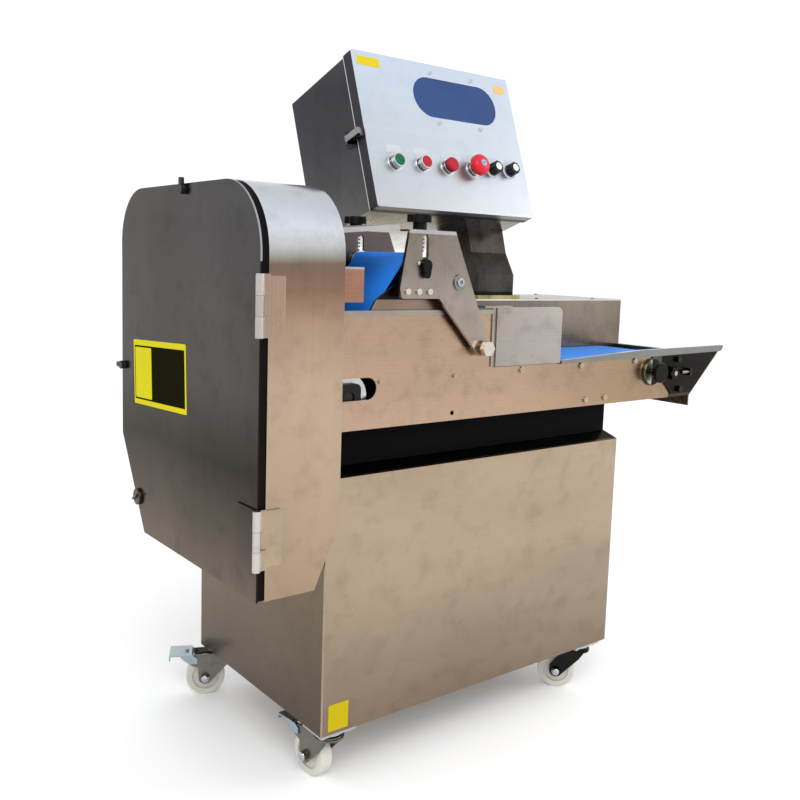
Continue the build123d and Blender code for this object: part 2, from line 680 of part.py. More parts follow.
with BuildPart() as press_adjusters:
    # blocks that carry the top roller in the two slots, their screws and springs
    for y0, y1, ys in ((-222.5, -203, -213), (-41, -22, -31.5)):
        block(-137, -113, y0, y1, 855, 881)
        if ys < -100:
            # neck through the slot and a dark two-lobed cap outside it
            block(-130, -120, -231.5, y0, 857, 878)
            with BuildSketch(Plane.XZ.offset(231.5)) as s:
                with Locations((X(-125), 868)):
                    Circle(9)
                with Locations((X(-125), 853)):
                    Circle(6.5)
                make_hull()
            extrude(s.sketch, amount=6.5)
            rod_y(-222.3, y1 + 1, top_rx, top_rz, 6.05, mode=Mode.SUBTRACT)
        else:
            rod_y(y0 - 1, y1 + 1, top_rx, top_rz, 6.05, mode=Mode.SUBTRACT)
        rod_z(881, 929, -125, ys, 4.9)
        rod_z(889, 893, -125, ys, 7.5)
        for k in range(4):
            with BuildSketch(Plane.XY.offset(895.5 + 6.3 * k)) as s:
                with Locations((X(-125), ys)):
                    Circle(8.4)
                    Circle(5.6, mode=Mode.SUBTRACT)
            extrude(s.sketch, amount=3.2)
finish(press_adjusters, "press_adjusters")


def star_knob(name, ys):
    with BuildPart() as knob:
        rod_z(925, 938, -125, ys, 11.5)
        with BuildSketch(Plane.XY.offset(937)) as s:
            with Locations((X(-125), ys)):
                Circle(16)
                with PolarLocations(14.5, 5):
                    Circle(6.8)
        extrude(s.sketch, amount=13)
        rod_z(924, 932, -125, ys, 4.95, mode=Mode.SUBTRACT)
        fillet(knob.faces().sort_by(Axis.Z)[-1].edges(), 2)
    finish(knob, name)


star_knob("star_knob_front", -213)
star_knob("star_knob_rear", -31.5)

with BuildPart() as pivot_bolts:
    # hexagon bolt and bush at the front, plain pin at the rear wall
    rod_y(-236.5, -211.5, piv_x, piv_z, 8)
    hex_y(-246, -236.5, piv_x, piv_z, 24)
    rod_y(-236.5, arm_y0 - 0.4, piv_x, piv_z, 13)
    rod_y(-223.6, front_y0, piv_x, piv_z, 13)
    rod_y(-50, wall_y0, piv_x, piv_z, 8)
    rod_y(-41.6, wall_y0, piv_x, piv_z, 13)
finish(pivot_bolts, "pivot_bolts")

# ===========================================================================
# CONTROL BOX
# ===========================================================================
ca, sa = math.cos(math.radians(box_tilt)), math.sin(math.radians(box_tilt))
panel = Plane(origin=(X(box_x0), box_y0, box_z0), x_dir=(1, 0, 0), z_dir=(0, -ca, sa))


def on_panel(u, v, w):
    """Point at u along the panel, v up it and w out of it."""
    return panel.from_local_coords((u, v, w))


def panel_box(u0, u1, v0, v1, w0, w1, mode=Mode.ADD):
    with BuildSketch(panel.offset(w0)) as s:
        with Locations(((u0 + u1) / 2, (v0 + v1) / 2)):
            Rectangle(u1 - u0, v1 - v0)
    extrude(s.sketch, amount=w1 - w0, mode=mode)


def panel_rod(u, v, w0, w1, r, mode=Mode.ADD):
    with BuildSketch(panel.offset(w0)) as s:
        with Locations((u, v)):
            Circle(r)
    extrude(s.sketch, amount=w1 - w0, mode=mode)


def panel_rod_v(u, v0, v1, w, r, mode=Mode.ADD):
    side = Plane(origin=on_panel(u, v0, w), x_dir=(1, 0, 0), z_dir=panel.y_dir)
    with BuildSketch(side) as s:
        Circle(r)
    extrude(s.sketch, amount=v1 - v0, mode=mode)


buttons = [(58.5, 89.5), (124.5, 92), (187.5, 92)]
estop_at = (253.5, 94)
knobs = [(306.5, 97), (354.5, 98.5)]
lid_hinge_u, lid_hinge_w = box_w + 5.5, -lid_d - 1.0
lid_hinges = [(60, 110), (198, 248)]

with BuildPart() as control_box:
    panel_box(3, box_w - 3, 3, box_h - 3, -box_d, -4)
    panel_box(5, box_w - 5, 5, box_h - 5, -box_d + 2, -3, mode=Mode.SUBTRACT)
    # cable hole in the underside, above the column
    bottom = Plane(origin=on_panel(340, 0, -100), x_dir=(1, 0, 0), z_dir=panel.y_dir)
    with BuildSketch(bottom) as s:
        Circle(14)
    extrude(s.sketch, amount=8, mode=Mode.SUBTRACT)
    # fixed hinge leaves, knuckles and pins on the right side
    for v0, v1 in lid_hinges:
        panel_box(box_w - 3, box_w + 0.5, v0, v1, -62, -30)
        for a, b in ((v0, v0 + 13), (v1 - 13, v1)):
            panel_rod_v(lid_hinge_u, a, b, lid_hinge_w, 5)
            panel_box(box_w - 1, lid_hinge_u, a, b, lid_hinge_w - 5, lid_hinge_w - 2.5)
        panel_rod_v(lid_hinge_u, v0, v1, lid_hinge_w, 2.5)
    # seat, ears and pin of the toggle latch on the left side
    panel_box(-4, 3, 136, 160, -62, -40)
    for v0, v1 in ((136, 141), (155, 160)):
        panel_box(-13, -4, v0, v1, -52, -41)
    panel_rod_v(-9, 136, 160, -46, 2)
finish(control_box, "control_box")

with BuildPart() as control_lid:
    panel_box(0, box_w, 0, box_h, -lid_d, 0)
    fillet(control_lid.edges().filter_by(lambda e: e.length < lid_d + 1 and e.length > lid_d - 1), 3)
    panel_box(2, box_w - 2, 2, box_h - 2, -lid_d - 1, -2, mode=Mode.SUBTRACT)
    with BuildSketch(panel.offset(-3)) as s:
        with Locations((242, 236)):
            SlotOverall(217, 84)
    extrude(s.sketch, amount=5, mode=Mode.SUBTRACT)
    for u, v in buttons + [estop_at]:
        panel_rod(u, v, -3, 1, 11.2, mode=Mode.SUBTRACT)
    for u, v in knobs:
        panel_rod(u, v, -3, 1, 4.2, mode=Mode.SUBTRACT)
    # catch of the toggle latch, hinge knuckles
    panel_box(-5, 0, 141, 155, -20, -10)
    for v0, v1 in lid_hinges:
        panel_rod_v(lid_hinge_u, v0 + 13.4, v1 - 13.4, lid_hinge_w, 5)
        panel_box(box_w - 1, lid_hinge_u, v0 + 13.4, v1 - 13.4, lid_hinge_w + 2.5, lid_hinge_w + 5)
        panel_rod_v(lid_hinge_u, v0 + 13, v1 - 13, lid_hinge_w, 2.55, mode=Mode.SUBTRACT)
finish(control_lid, "control_lid")

with BuildPart() as lid_window:
    with BuildSketch(panel.offset(-5)) as s:
        with Locations((242, 236)):
            RectangleRounded(250, 122, 8)
    extrude(s.sketch, amount=3)
    # raised field that fills the cut-out
    with BuildSketch(panel.offset(-2)) as s:
        with Locations((242, 236)):
            SlotOverall(216.4, 83.4)
    extrude(s.sketch, amount=1.2)
    for u, v in ((187, 289), (295, 289), (188, 183), (297, 183)):
        panel_rod(u, v, 0, 2.6, 4.2)
finish(lid_window, "lid_window")

with BuildPart() as button_bezels:
    for k, (u, v) in enumerate(buttons + [estop_at]):
        # flange, dark ring and collar; the first two collars stand round their lenses
        flush = k < 2
        panel_rod(u, v, 0, 2, 16.5)
        panel_rod(u, v, 2, 5, 13.5)
        panel_rod(u, v, 5, 14 if flush else 8, 14)
        panel_rod(u, v, -24, 0, 11)
        panel_rod(u, v, -25, 9, 10.2, mode=Mode.SUBTRACT)
        if flush:
            panel_rod(u, v, 5, 15, 11.45, mode=Mode.SUBTRACT)
        panel_box(u - 14, u + 14, v - 14, v + 14, -42, -24)
    for u, v in knobs:
        panel_rod(u, v, 0, 3, 13)
        panel_rod(u, v, -22, 0, 4)
        panel_rod(u, v, -23, 4, 3.2, mode=Mode.SUBTRACT)
        panel_box(u - 12, u + 12, v - 12, v + 12, -34, -22)
finish(button_bezels, "button_bezels")


def push_button(name, u, v, head, top, r, crown_r):
    with BuildPart() as cap:
        panel_rod(u, v, -12, head, 10.1)
        panel_rod(u, v, head, top, r)
        crown = cap.faces().sort_by(Axis(panel.origin, panel.z_dir))[-1]
        fillet(crown.edges(), crown_r)
    finish(cap, name)


push_button("button_green", *buttons[0], 8.4, 15.0, 11.3, 1.2)
push_button("button_red", *buttons[1], 8.4, 15.0, 11.3, 1.2)
push_button("button_stop", *buttons[2], 11.6, 19.5, 14.0, 5.0)

with BuildPart() as estop_button:
    u, v = estop_at
    panel_rod(u, v, -12, 18, 10.1)
    with BuildSketch(Plane(origin=on_panel(u, v, 0), x_dir=panel.x_dir, z_dir=-panel.y_dir)) as s:
        # local x is u, local y is w
        with BuildLine():
            m = Polyline((0, 14), (18, 14), (21, 17), (21, 25))
            n = ThreePointArc((21, 25), (16, 31.4), (8.5, 34))
            o = Line((8.5, 34), (0, 34))
            p = Line((0, 34), (0, 14))
        make_face()
    revolve(s.sketch, axis=Axis(on_panel(u, v, 0), panel.z_dir))
finish(estop_button, "estop_button")


def rotary_knob(name, u, v):
    with BuildPart() as knob:
        panel_rod(u, v, 4, 8, 12.8)
        # fluted grip
        with BuildSketch(panel.offset(8)) as s:
            with Locations((u, v)):
                Circle(12.2)
                with PolarLocations(13.2, 9):
                    Circle(2.4, mode=Mode.SUBTRACT)
        extrude(s.sketch, amount=12)
        panel_rod(u, v, -16, 4, 3.1)
        panel_rod(u, v, 20, 21.2, 7.5)
        # pointer rib on the skirt
        panel_box(u - 1.5, u + 1.5, v + 8, v + 13.5, 4, 8)
    finish(knob, name)


rotary_knob("speed_knob_left", *knobs[0])
rotary_knob("speed_knob_right", *knobs[1])

with BuildPart() as lid_latch:
    # toggle lever over the edge of the lid
    panel_rod_v(-9, 142, 154, -46, 4)
    panel_box(-12, -7.5, 142, 154, -46, -6)
    panel_box(-9, -5.6, 142, 154, -9, -6)
    panel_rod_v(-9, 141, 155, -46, 2.05, mode=Mode.SUBTRACT)
finish(lid_latch, "lid_latch")

with BuildPart() as electric_drives:
    # mounting plate with two frequency drives, inside the control box
    panel_box(20, box_w - 20, 20, box_h - 20, -box_d + 8, -box_d + 11)
    for u, v in ((30, 30), (370, 30), (30, 278), (370, 278)):
        panel_rod(u, v, -box_d + 2, -box_d + 8, 5)
    panel_box(60, 170, 70, 250, -box_d + 11, -box_d + 120)
    panel_box(220, 330, 70, 250, -box_d + 11, -box_d + 120)
    # cutter motor, foot mounted on the cabinet floor
    rod_x(-92, 150, mot_y, mot_z, 84)
    rod_x(150, 168, mot_y, mot_z, 76)
    block(-60, 110, mot_y - 96, mot_y + 96, cab_z0 + t_sheet, 122)
    block(-50, 100, mot_y - 70, mot_y + 70, 122, mot_z - 40)
    block(-20, 90, mot_y - 118, mot_y - 70, mot_z - 20, mot_z + 42)
    rod_x(-146.5, -90, mot_y, mot_z, 9.0, mode=Mode.SUBTRACT)
    # geared motor on the feed drive roller's shaft, behind the wall
    block(-280, -222, 46, 104, 612, 700)
    rod_x(-222, -70, 92, 645, 30)
    block(-200, -90, 74, 110, 606, 620)
    rod_y(45, 106, drive_x, roll_z, 10.05, mode=Mode.SUBTRACT)
finish(electric_drives, "electric_drives")


def under_z(y):
    """Height of the box's underside, 3 mm inside the lid line, at y."""
    a = on_panel(0, 3, 0)
    return a.Z + (y - a.Y) * (-sa / ca)


with BuildPart() as control_column:
    prism_yz([(-2, 810), (-2, 852), (24, 897), (38, under_z(38)), (128, under_z(128)), (104, 870), (88, 810)],
             205, 305)
    prism_yz([(2, 809), (2, 851), (28, 896), (41, under_z(41) + 3), (140, under_z(140) + 2), (124, 870), (92, 809)],
             208, 302, mode=Mode.SUBTRACT)
    block(205, 305, -2, 88, 810, 813)
    block(195, 315, -13, 98, 802, 810)
finish(control_column, "control_column")

# ===========================================================================
# CASTERS
# ===========================================================================
casters = {
    "front_left": ((-266, -192), 96.0, True),
    "rear_left": ((-256, 196), 153.0, True),
    "front_right": ((348, -192), 130.0, False),
    "rear_right": ((352, 196), 60.0, False),
}

with BuildPart() as frame_fasteners:
    # screws and nuts of the frame, each a separate piece
    for x, z, r in ((124, 683.5, 6), (287, 683.5, 5.8), (452, 686, 6), (305, 615.5, 6), (362, 617, 6),
                    (-198, 679, 3.5), (-39, 680.5, 3.5)):
        rod_y(front_y0 - 3.5, front_y0, x, z, r)
    hex_y(front_y0 - 10, front_y0 - 3, 594, 684, 13)
    hex_y(front_y0 - 10, front_y0 - 3, 604, 620, 13)
    rod_x(604, 632, front_y0 - 8, 656, 3.5)
    block(628, 636, front_y0 - 13, front_y0 - 3, 648, 664)
    rod_x(cab_x1, cab_x1 + 3.5, -cab_y + 14, 522, 4)
    # top plates of the casters
    for (cx, cy), ang, brake in casters.values():
        block(cx - 34, cx + 34, cy - 28, cy + 28, cab_z0 - 3.5, cab_z0)
        rod_z(cab_z0 - 8, cab_z0 - 3.5, cx, cy, 24)
        for dx in (-25, 25):
            for dy in (-19, 19):
                rod_z(cab_z0 - 7.5, cab_z0 - 3.5, cx + dx, cy + dy, 5.2)
        # king pin with its head under the fork's crown
        rod_z(cab_z0 - 21, cab_z0 - 3.5, cx, cy, 6)
        rod_z(cab_z0 - 22, cab_z0 - 18.4, cx, cy, 9.5)
finish(frame_fasteners, "frame_fasteners")


def caster_frame(cx, cy, ang):
    """Plane on the floor below the swivel axis, its x towards the trail."""
    a = math.radians(ang)
    return Plane(origin=(X(cx), cy, 0), x_dir=(math.cos(a), math.sin(a), 0), z_dir=(0, 0, 1))


def side_plane(cx, cy, ang, off):
    """Upright plane along the trail direction, off to its left."""
    a = math.radians(ang)
    nx, ny = -math.sin(a), math.cos(a)
    return Plane(origin=(X(cx) + nx * off, cy + ny * off, 0), x_dir=(math.cos(a), math.sin(a), 0),
                 z_dir=(-nx, -ny, 0))


def caster(name, cx, cy, ang, brake):
    base = caster_frame(cx, cy, ang)
    with BuildPart() as fork:
        # crown with a hole for the king pin
        with BuildSketch(base.offset(cab_z0 - 18)) as s:
            Circle(26)
            Circle(6.05, mode=Mode.SUBTRACT)
        extrude(s.sketch, amount=3.5)
        with BuildSketch(base.offset(cab_z0 - 14.5)) as s:
            Circle(24)
            Circle(20, mode=Mode.SUBTRACT)
        extrude(s.sketch, amount=3)
        # legs with a rounded foot
        if brake:
            leg = [(-18, 90.5), (40, 90.5), (70, 89.5), (74, 78), (66, 68), (54, 63), (53, axle_z), (30, axle_z - 8),
                   (-6, 72)]
        else:
            leg = [(-18, 90.5), (24, 90.5), (53, 54), (53, axle_z), (30, axle_z - 8), (-6, 72)]
        for off in (-fork_w / 2 - 2, fork_w / 2 + 4.5):
            with BuildSketch(side_plane(cx, cy, ang, off)) as s:
                with BuildLine():
                    Polyline(*leg, close=True)
                make_face()
                with Locations((trail, axle_z)):
                    Circle(13)
                if brake:
                    with Locations((pedal_x, pedal_z)):
                        Circle(4.55, mode=Mode.SUBTRACT)
            extrude(s.sketch, amount=2.5)
        # axle bolt with washers, head and nut
        with BuildSketch(side_plane(cx, cy, ang, fork_w / 2 + 5)) as s:
            with Locations((trail, axle_z)):
                Circle(4)
        extrude(s.sketch, amount=fork_w + 10)
        for off in (fork_w / 2 + 6, -fork_w / 2 - 4.5):
            with BuildSketch(side_plane(cx, cy, ang, off)) as s:
                with Locations((trail, axle_z)):
                    Circle(9)
            extrude(s.sketch, amount=1.5)
        for off in (fork_w / 2 + 11, -fork_w / 2 - 6):
            with BuildSketch(side_plane(cx, cy, ang, off)) as s:
                with Locations((trail, axle_z)):
                    RegularPolygon(6.5, 6, major_radius=False)
            extrude(s.sketch, amount=5)
    finish(fork, "caster_fork_" + name)

    with BuildPart() as wheel:
        with BuildSketch(side_plane(cx, cy, ang, wheel_w / 2)) as s:
            with Locations((trail, axle_z)):
                Circle(wheel_r)
        extrude(s.sketch, amount=wheel_w)
        fillet(wheel.edges().filter_by(GeomType.CIRCLE), 3)
        # recessed webs either side
        for off, w in ((wheel_w / 2, 4), (-wheel_w / 2 + 4, 4)):
            with BuildSketch(side_plane(cx, cy, ang, off)) as s:
                with Locations((trail, axle_z)):
                    Circle(26)
                    Circle(11, mode=Mode.SUBTRACT)
            extrude(s.sketch, amount=w, mode=Mode.SUBTRACT)
        with BuildSketch(side_plane(cx, cy, ang, wheel_w / 2 + 1)) as s:
            with Locations((trail, axle_z)):
                Circle(4.06)
        extrude(s.sketch, amount=wheel_w + 2, mode=Mode.SUBTRACT)
    finish(wheel, "caster_wheel_" + name)

    if brake:
        with BuildPart() as pedal:
            # broad level pedal plate with a lip, beyond the wheel
            px, pz = pedal_x, pedal_z
            with BuildSketch(side_plane(cx, cy, ang, 24)) as s:
                with BuildLine():
                    Polyline((px + 2, 92.5), (px + 44, 92.5), (px + 46, 90.5), (px + 46, 82), (px + 43.5, 82),
                             (px + 43.5, 90), (px + 2, 90), close=True)
                make_face()
            extrude(s.sketch, amount=48)
            # cheeks outside the fork, down to the pivot rod
            for off in (21.5, -19):
                with BuildSketch(side_plane(cx, cy, ang, off)) as s:
                    with BuildLine():
                        Polyline((px - 8, 73), (px + 8, 73), (px + 24, 86), (px + 24, 91), (px + 2, 91), (px - 8, 84),
                                 close=True)
                    make_face()
                extrude(s.sketch, amount=2.5)
            with BuildSketch(side_plane(cx, cy, ang, 21.5)) as s:
                with Locations((px, pz)):
                    Circle(4.5)
            extrude(s.sketch, amount=43)
            # small set screw standing on the plate
            with BuildSketch(caster_frame(cx, cy, ang).offset(92)) as s:
                with Locations((px + 12, 0)):
                    Circle(3.5)
            extrude(s.sketch, amount=4.5)
        finish(pedal, "caster_pedal_" + name)


for name, ((cx, cy), ang, brake) in casters.items():
    caster(name, cx, cy, ang, brake)
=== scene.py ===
import math

import bmesh
import bpy
from mathutils import Matrix, Vector


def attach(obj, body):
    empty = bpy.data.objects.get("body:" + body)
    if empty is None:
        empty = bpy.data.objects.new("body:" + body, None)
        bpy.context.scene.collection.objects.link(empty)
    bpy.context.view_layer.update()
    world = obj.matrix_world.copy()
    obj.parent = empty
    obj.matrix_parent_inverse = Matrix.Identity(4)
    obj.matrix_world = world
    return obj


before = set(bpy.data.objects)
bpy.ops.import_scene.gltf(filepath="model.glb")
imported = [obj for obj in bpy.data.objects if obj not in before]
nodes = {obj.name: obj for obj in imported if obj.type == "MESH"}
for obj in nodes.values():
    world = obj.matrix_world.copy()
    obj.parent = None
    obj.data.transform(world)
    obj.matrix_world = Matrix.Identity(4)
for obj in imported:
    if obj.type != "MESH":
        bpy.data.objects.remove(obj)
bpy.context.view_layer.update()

scene = bpy.context.scene

# ---------------------------------------------------------------------------
# Stations as in the CAD model: millimetres with X counted from the press-arm
# datum, turned into metres of the shared frame.
# ---------------------------------------------------------------------------
XC = 152.75
ZC = 5.0


def P(x, y, z):
    return Vector(((x - XC) / 1000, y / 1000, (z - ZC) / 1000))


TILT = math.radians(19.2)
CA, SA = math.cos(TILT), math.sin(TILT)
PU, PV, PW = Vector((1, 0, 0)), Vector((0, SA, CA)), Vector((0, -CA, SA))


def PN(u, v, w=0.0):
    """Point on the control panel: u along it, v up it, w out of it."""
    o = P(-84, -42, 971)
    return o + (PU * u + PV * v + PW * w) / 1000


# ---------------------------------------------------------------------------
# Materials
# ---------------------------------------------------------------------------
def new_mat(name):
    m = bpy.data.materials.new(name)
    m.use_nodes = True
    nt = m.node_tree
    b = nt.nodes["Principled BSDF"]
    return m, nt, b


def mapping(nt, scale, rot=(0, 0, 0)):
    tc = nt.nodes.new("ShaderNodeTexCoord")
    mp = nt.nodes.new("ShaderNodeMapping")
    mp.inputs["Scale"].default_value = scale
    mp.inputs["Rotation"].default_value = rot
    nt.links.new(tc.outputs["Object"], mp.inputs["Vector"])
    return mp


def noise(nt, vec, scale=1.0, detail=4.0, rough=0.55):
    n = nt.nodes.new("ShaderNodeTexNoise")
    n.inputs["Scale"].default_value = scale
    n.inputs["Detail"].default_value = detail
    n.inputs["Roughness"].default_value = rough
    nt.links.new(vec.outputs[0], n.inputs["Vector"])
    return n


def ramp(nt, src, stops):
    r = nt.nodes.new("ShaderNodeValToRGB")
    els = r.color_ramp.elements
    while len(els) < len(stops):
        els.new(0.5)
    for e, (pos, col) in zip(els, stops):
        e.position = pos
        e.color = (*col, 1) if isinstance(col, tuple) else (col, col, col, 1)
    nt.links.new(src, r.inputs["Fac"])
    return r


def bump(nt, b, src, strength, dist=0.001):
    bp = nt.nodes.new("ShaderNodeBump")
    bp.inputs["Strength"].default_value = strength
    bp.inputs["Distance"].default_value = dist
    nt.links.new(src, bp.inputs["Height"])
    nt.links.new(bp.outputs["Normal"], b.inputs["Normal"])
    return bp


def mix_rgb(nt, kind, fac, a, b_):
    m = nt.nodes.new("ShaderNodeMix")
    m.data_type = "RGBA"
    m.blend_type = kind
    if isinstance(fac, (int, float)):
        m.inputs[0].default_value = fac
    else:
        nt.links.new(fac, m.inputs[0])
    nt.links.new(a, m.inputs[6])
    nt.links.new(b_, m.inputs[7])
    return m.outputs[2]


GRAIN = {"X": (3, 420, 420), "Y": (420, 3, 420), "Z": (420, 420, 3)}


def selector(nt, tc, what, op, level):
    """1 where a coordinate or a normal component lies on the asked side of a level."""
    if what in "XYZ":
        sep = nt.nodes.new("ShaderNodeSeparateXYZ")
        nt.links.new(tc.outputs["Object"], sep.inputs[0])
        src = sep.outputs[what]
    elif what in ("NX", "NY", "NZ"):
        sep = nt.nodes.new("ShaderNodeSeparateXYZ")
        nt.links.new(tc.outputs["Normal"], sep.inputs[0])
        src = sep.outputs[what[1]]
    else:
        # W: height above the control panel, NW: how squarely a face looks out of it
        vm = nt.nodes.new("ShaderNodeVectorMath")
        vm.operation = "DOT_PRODUCT"
        nt.links.new(tc.outputs["Object" if what == "W" else "Normal"], vm.inputs[0])
        vm.inputs[1].default_value = PW
        src = vm.outputs["Value"]
        if what == "W":
            level = level + PN(0, 0, 0).dot(PW)
    m = nt.nodes.new("ShaderNodeMath")
    m.operation = "GREATER_THAN" if op == ">" else "LESS_THAN"
    nt.links.new(src, m.inputs[0])
    m.inputs[1].default_value = level
    return m.outputs[0]


def mask_of(nt, tc, tests):
    out = None
    for t in tests:
        k = selector(nt, tc, *t)
        if out is None:
            out = k
        else:
            m = nt.nodes.new("ShaderNodeMath")
            m.operation = "MULTIPLY"
            nt.links.new(out, m.inputs[0])
            nt.links.new(k, m.inputs[1])
            out = m.outputs[0]
    return out


def put_over(nt, tc, colour, over):
    """Lay further colours over the base one, each where its tests hold."""
    for tests, rgb in over:
        c = nt.nodes.new("ShaderNodeRGB")
        c.outputs[0].default_value = (*rgb, 1)
        colour = mix_rgb(nt, "MIX", mask_of(nt, tc, tests), colour, c.outputs[0])
    return colour


def brushed(name, stops, lo=0.22, hi=0.42, grain="X", axis="Z", a0=0.0, a1=1.0, blotch=0.12, line=0.05, over=(),
            side=None, relief=0.03, painted_belt_reflection=None):
    """Brushed sheet: fine lines along the grain, broad soft stains, and a colour ramp along one axis that paints in
    reflection and shade.
    """
    m, nt, b = new_mat(name)
    b.inputs["Metallic"].default_value = 1.0
    fine = noise(nt, mapping(nt, GRAIN[grain]), 1.0, 3.0, 0.6)
    r = ramp(nt, fine.outputs["Fac"], [(0.25, lo), (0.75, hi)])
    nt.links.new(r.outputs["Color"], b.inputs["Roughness"])
    tc = nt.nodes.new("ShaderNodeTexCoord")
    sep = nt.nodes.new("ShaderNodeSeparateXYZ")
    nt.links.new(tc.outputs["Object"], sep.inputs[0])
    mr = nt.nodes.new("ShaderNodeMapRange")
    mr.inputs["From Min"].default_value = a0
    mr.inputs["From Max"].default_value = a1
    nt.links.new(sep.outputs[axis], mr.inputs["Value"])
    # the painted reflection ramp wavers a little, as a mirrored room does
    wob = noise(nt, mapping(nt, (3.0, 3.0, 3.0)), 1.0, 2.0, 0.5)
    wm = nt.nodes.new("ShaderNodeMath")
    wm.operation = "MULTIPLY_ADD"
    nt.links.new(wob.outputs["Fac"], wm.inputs[0])
    wm.inputs[1].default_value = 0.07
    nt.links.new(mr.outputs["Result"], wm.inputs[2])
    ws = nt.nodes.new("ShaderNodeMath")
    ws.operation = "SUBTRACT"
    nt.links.new(wm.outputs[0], ws.inputs[0])
    ws.inputs[1].default_value = 0.035
    base = ramp(nt, ws.outputs[0], stops)
    colour = base.outputs["Color"]
    # faces picked by the side tests are multiplied darker: painted shade on that side
    if side:
        tests, rgb = side
        c = nt.nodes.new("ShaderNodeRGB")
        c.outputs[0].default_value = (*rgb, 1)
        side_in_painted_shade = mix_rgb(nt, "MULTIPLY", 1.0, colour, c.outputs[0])
        colour = mix_rgb(nt, "MIX", mask_of(nt, tc, tests), colour, side_in_painted_shade)
    if painted_belt_reflection:
        # painted reflection of the blue belt on the casing's front faces, fading upwards and along X
        rgb, z_full, z_none, x_none, x_full = painted_belt_reflection
        fade = None
        for out, lo_, hi_ in ((sep.outputs["Z"], z_none, z_full), (sep.outputs["X"], x_none, x_full)):
            f = nt.nodes.new("ShaderNodeMapRange")
            f.inputs["From Min"].default_value = lo_
            f.inputs["From Max"].default_value = hi_
            nt.links.new(out, f.inputs["Value"])
            if fade is None:
                fade = f.outputs["Result"]
            else:
                mm = nt.nodes.new("ShaderNodeMath")
                mm.operation = "MULTIPLY"
                nt.links.new(fade, mm.inputs[0])
                nt.links.new(f.outputs["Result"], mm.inputs[1])
                fade = mm.outputs[0]
        front = selector(nt, tc, "NY", "<", -0.5)
        mm = nt.nodes.new("ShaderNodeMath")
        mm.operation = "MULTIPLY"
        nt.links.new(fade, mm.inputs[0])
        nt.links.new(front, mm.inputs[1])
        c = nt.nodes.new("ShaderNodeRGB")
        c.outputs[0].default_value = (*rgb, 1)
        colour = mix_rgb(nt, "MIX", mm.outputs[0], colour, c.outputs[0])
    colour = put_over(nt, tc, colour, over)
    wide = noise(nt, mapping(nt, {"X": (2.2, 5, 6), "Y": (5, 2.2, 6), "Z": (6, 5, 2.2)}[grain]), 1.0, 5.0, 0.6)
    wr = ramp(nt, wide.outputs["Fac"], [(0.3, 1.0 - blotch), (0.7, 1.0 + blotch * 0.4)])
    c1 = mix_rgb(nt, "MULTIPLY", 1.0, colour, wr.outputs["Color"])
    # small scuffs and finger marks
    scuff = noise(nt, mapping(nt, (26, 26, 26)), 1.0, 6.0, 0.65)
    sr = ramp(nt, scuff.outputs["Fac"], [(0.34, 1.0 - blotch * 0.9), (0.5, 1.0)])
    c1 = mix_rgb(nt, "MULTIPLY", 1.0, c1, sr.outputs["Color"])
    lr = ramp(nt, fine.outputs["Fac"], [(0.3, 1.0 - line), (0.7, 1.0)])
    c2 = mix_rgb(nt, "MULTIPLY", 1.0, c1, lr.outputs["Color"])
    nt.links.new(c2, b.inputs["Base Color"])
    bump(nt, b, fine.outputs["Fac"], relief, 0.0003)
    return m


def painted(name, col, rough=0.45, rvar=0.1, peel=0.05, metallic=0.0, mottle=0.06, spec=0.5, coat=0.0, over=(),
            over_metal=False):
    m, nt, b = new_mat(name)
    b.inputs["Metallic"].default_value = metallic
    b.inputs["Specular IOR Level"].default_value = spec
    b.inputs["Coat Weight"].default_value = coat
    n = noise(nt, mapping(nt, (14, 14, 14)), 1.0, 4.0)
    lo = tuple(c * (1 - mottle) for c in col)
    hi = tuple(min(1, c * (1 + mottle)) for c in col)
    c = ramp(nt, n.outputs["Fac"], [(0.3, lo), (0.7, hi)])
    tc = nt.nodes.new("ShaderNodeTexCoord")
    colour = put_over(nt, tc, c.outputs["Color"], over)
    nt.links.new(colour, b.inputs["Base Color"])
    if over and over_metal:
        nt.links.new(mask_of(nt, tc, over[0][0]), b.inputs["Metallic"])
    r = ramp(nt, n.outputs["Fac"], [(0.3, max(0.02, rough - rvar / 2)), (0.7, rough + rvar / 2)])
    nt.links.new(r.outputs["Color"], b.inputs["Roughness"])
    f = noise(nt, mapping(nt, (900, 900, 900)), 1.0, 2.0)
    bump(nt, b, f.outputs["Fac"], peel, 0.0002)
    return m


def belting(name, col):
    """Blue belting: faint woven impression and a satin gloss."""
    m, nt, b = new_mat(name)
    mp = mapping(nt, (1, 1, 1))
    w1 = nt.nodes.new("ShaderNodeTexWave")
    w1.inputs["Scale"].default_value = 260.0
    w1.bands_direction = "X"
    w2 = nt.nodes.new("ShaderNodeTexWave")
    w2.inputs["Scale"].default_value = 260.0
    w2.bands_direction = "Y"
    nt.links.new(mp.outputs[0], w1.inputs["Vector"])
    nt.links.new(mp.outputs[0], w2.inputs["Vector"])
    both = mix_rgb(nt, "MULTIPLY", 1.0, w1.outputs["Color"], w2.outputs["Color"])
    n = noise(nt, mapping(nt, (9, 9, 9)), 1.0, 5.0)
    c = ramp(nt, n.outputs["Fac"], [(0.3, tuple(v * 0.86 for v in col)), (0.7, tuple(min(1, v * 1.1) for v in col))])
    nt.links.new(c.outputs["Color"], b.inputs["Base Color"])
    r = ramp(nt, n.outputs["Fac"], [(0.3, 0.45), (0.7, 0.6)])
    nt.links.new(r.outputs["Color"], b.inputs["Roughness"])
    b.inputs["Specular IOR Level"].default_value = 0.22
    bump(nt, b, both, 0.10, 0.0002)
    return m


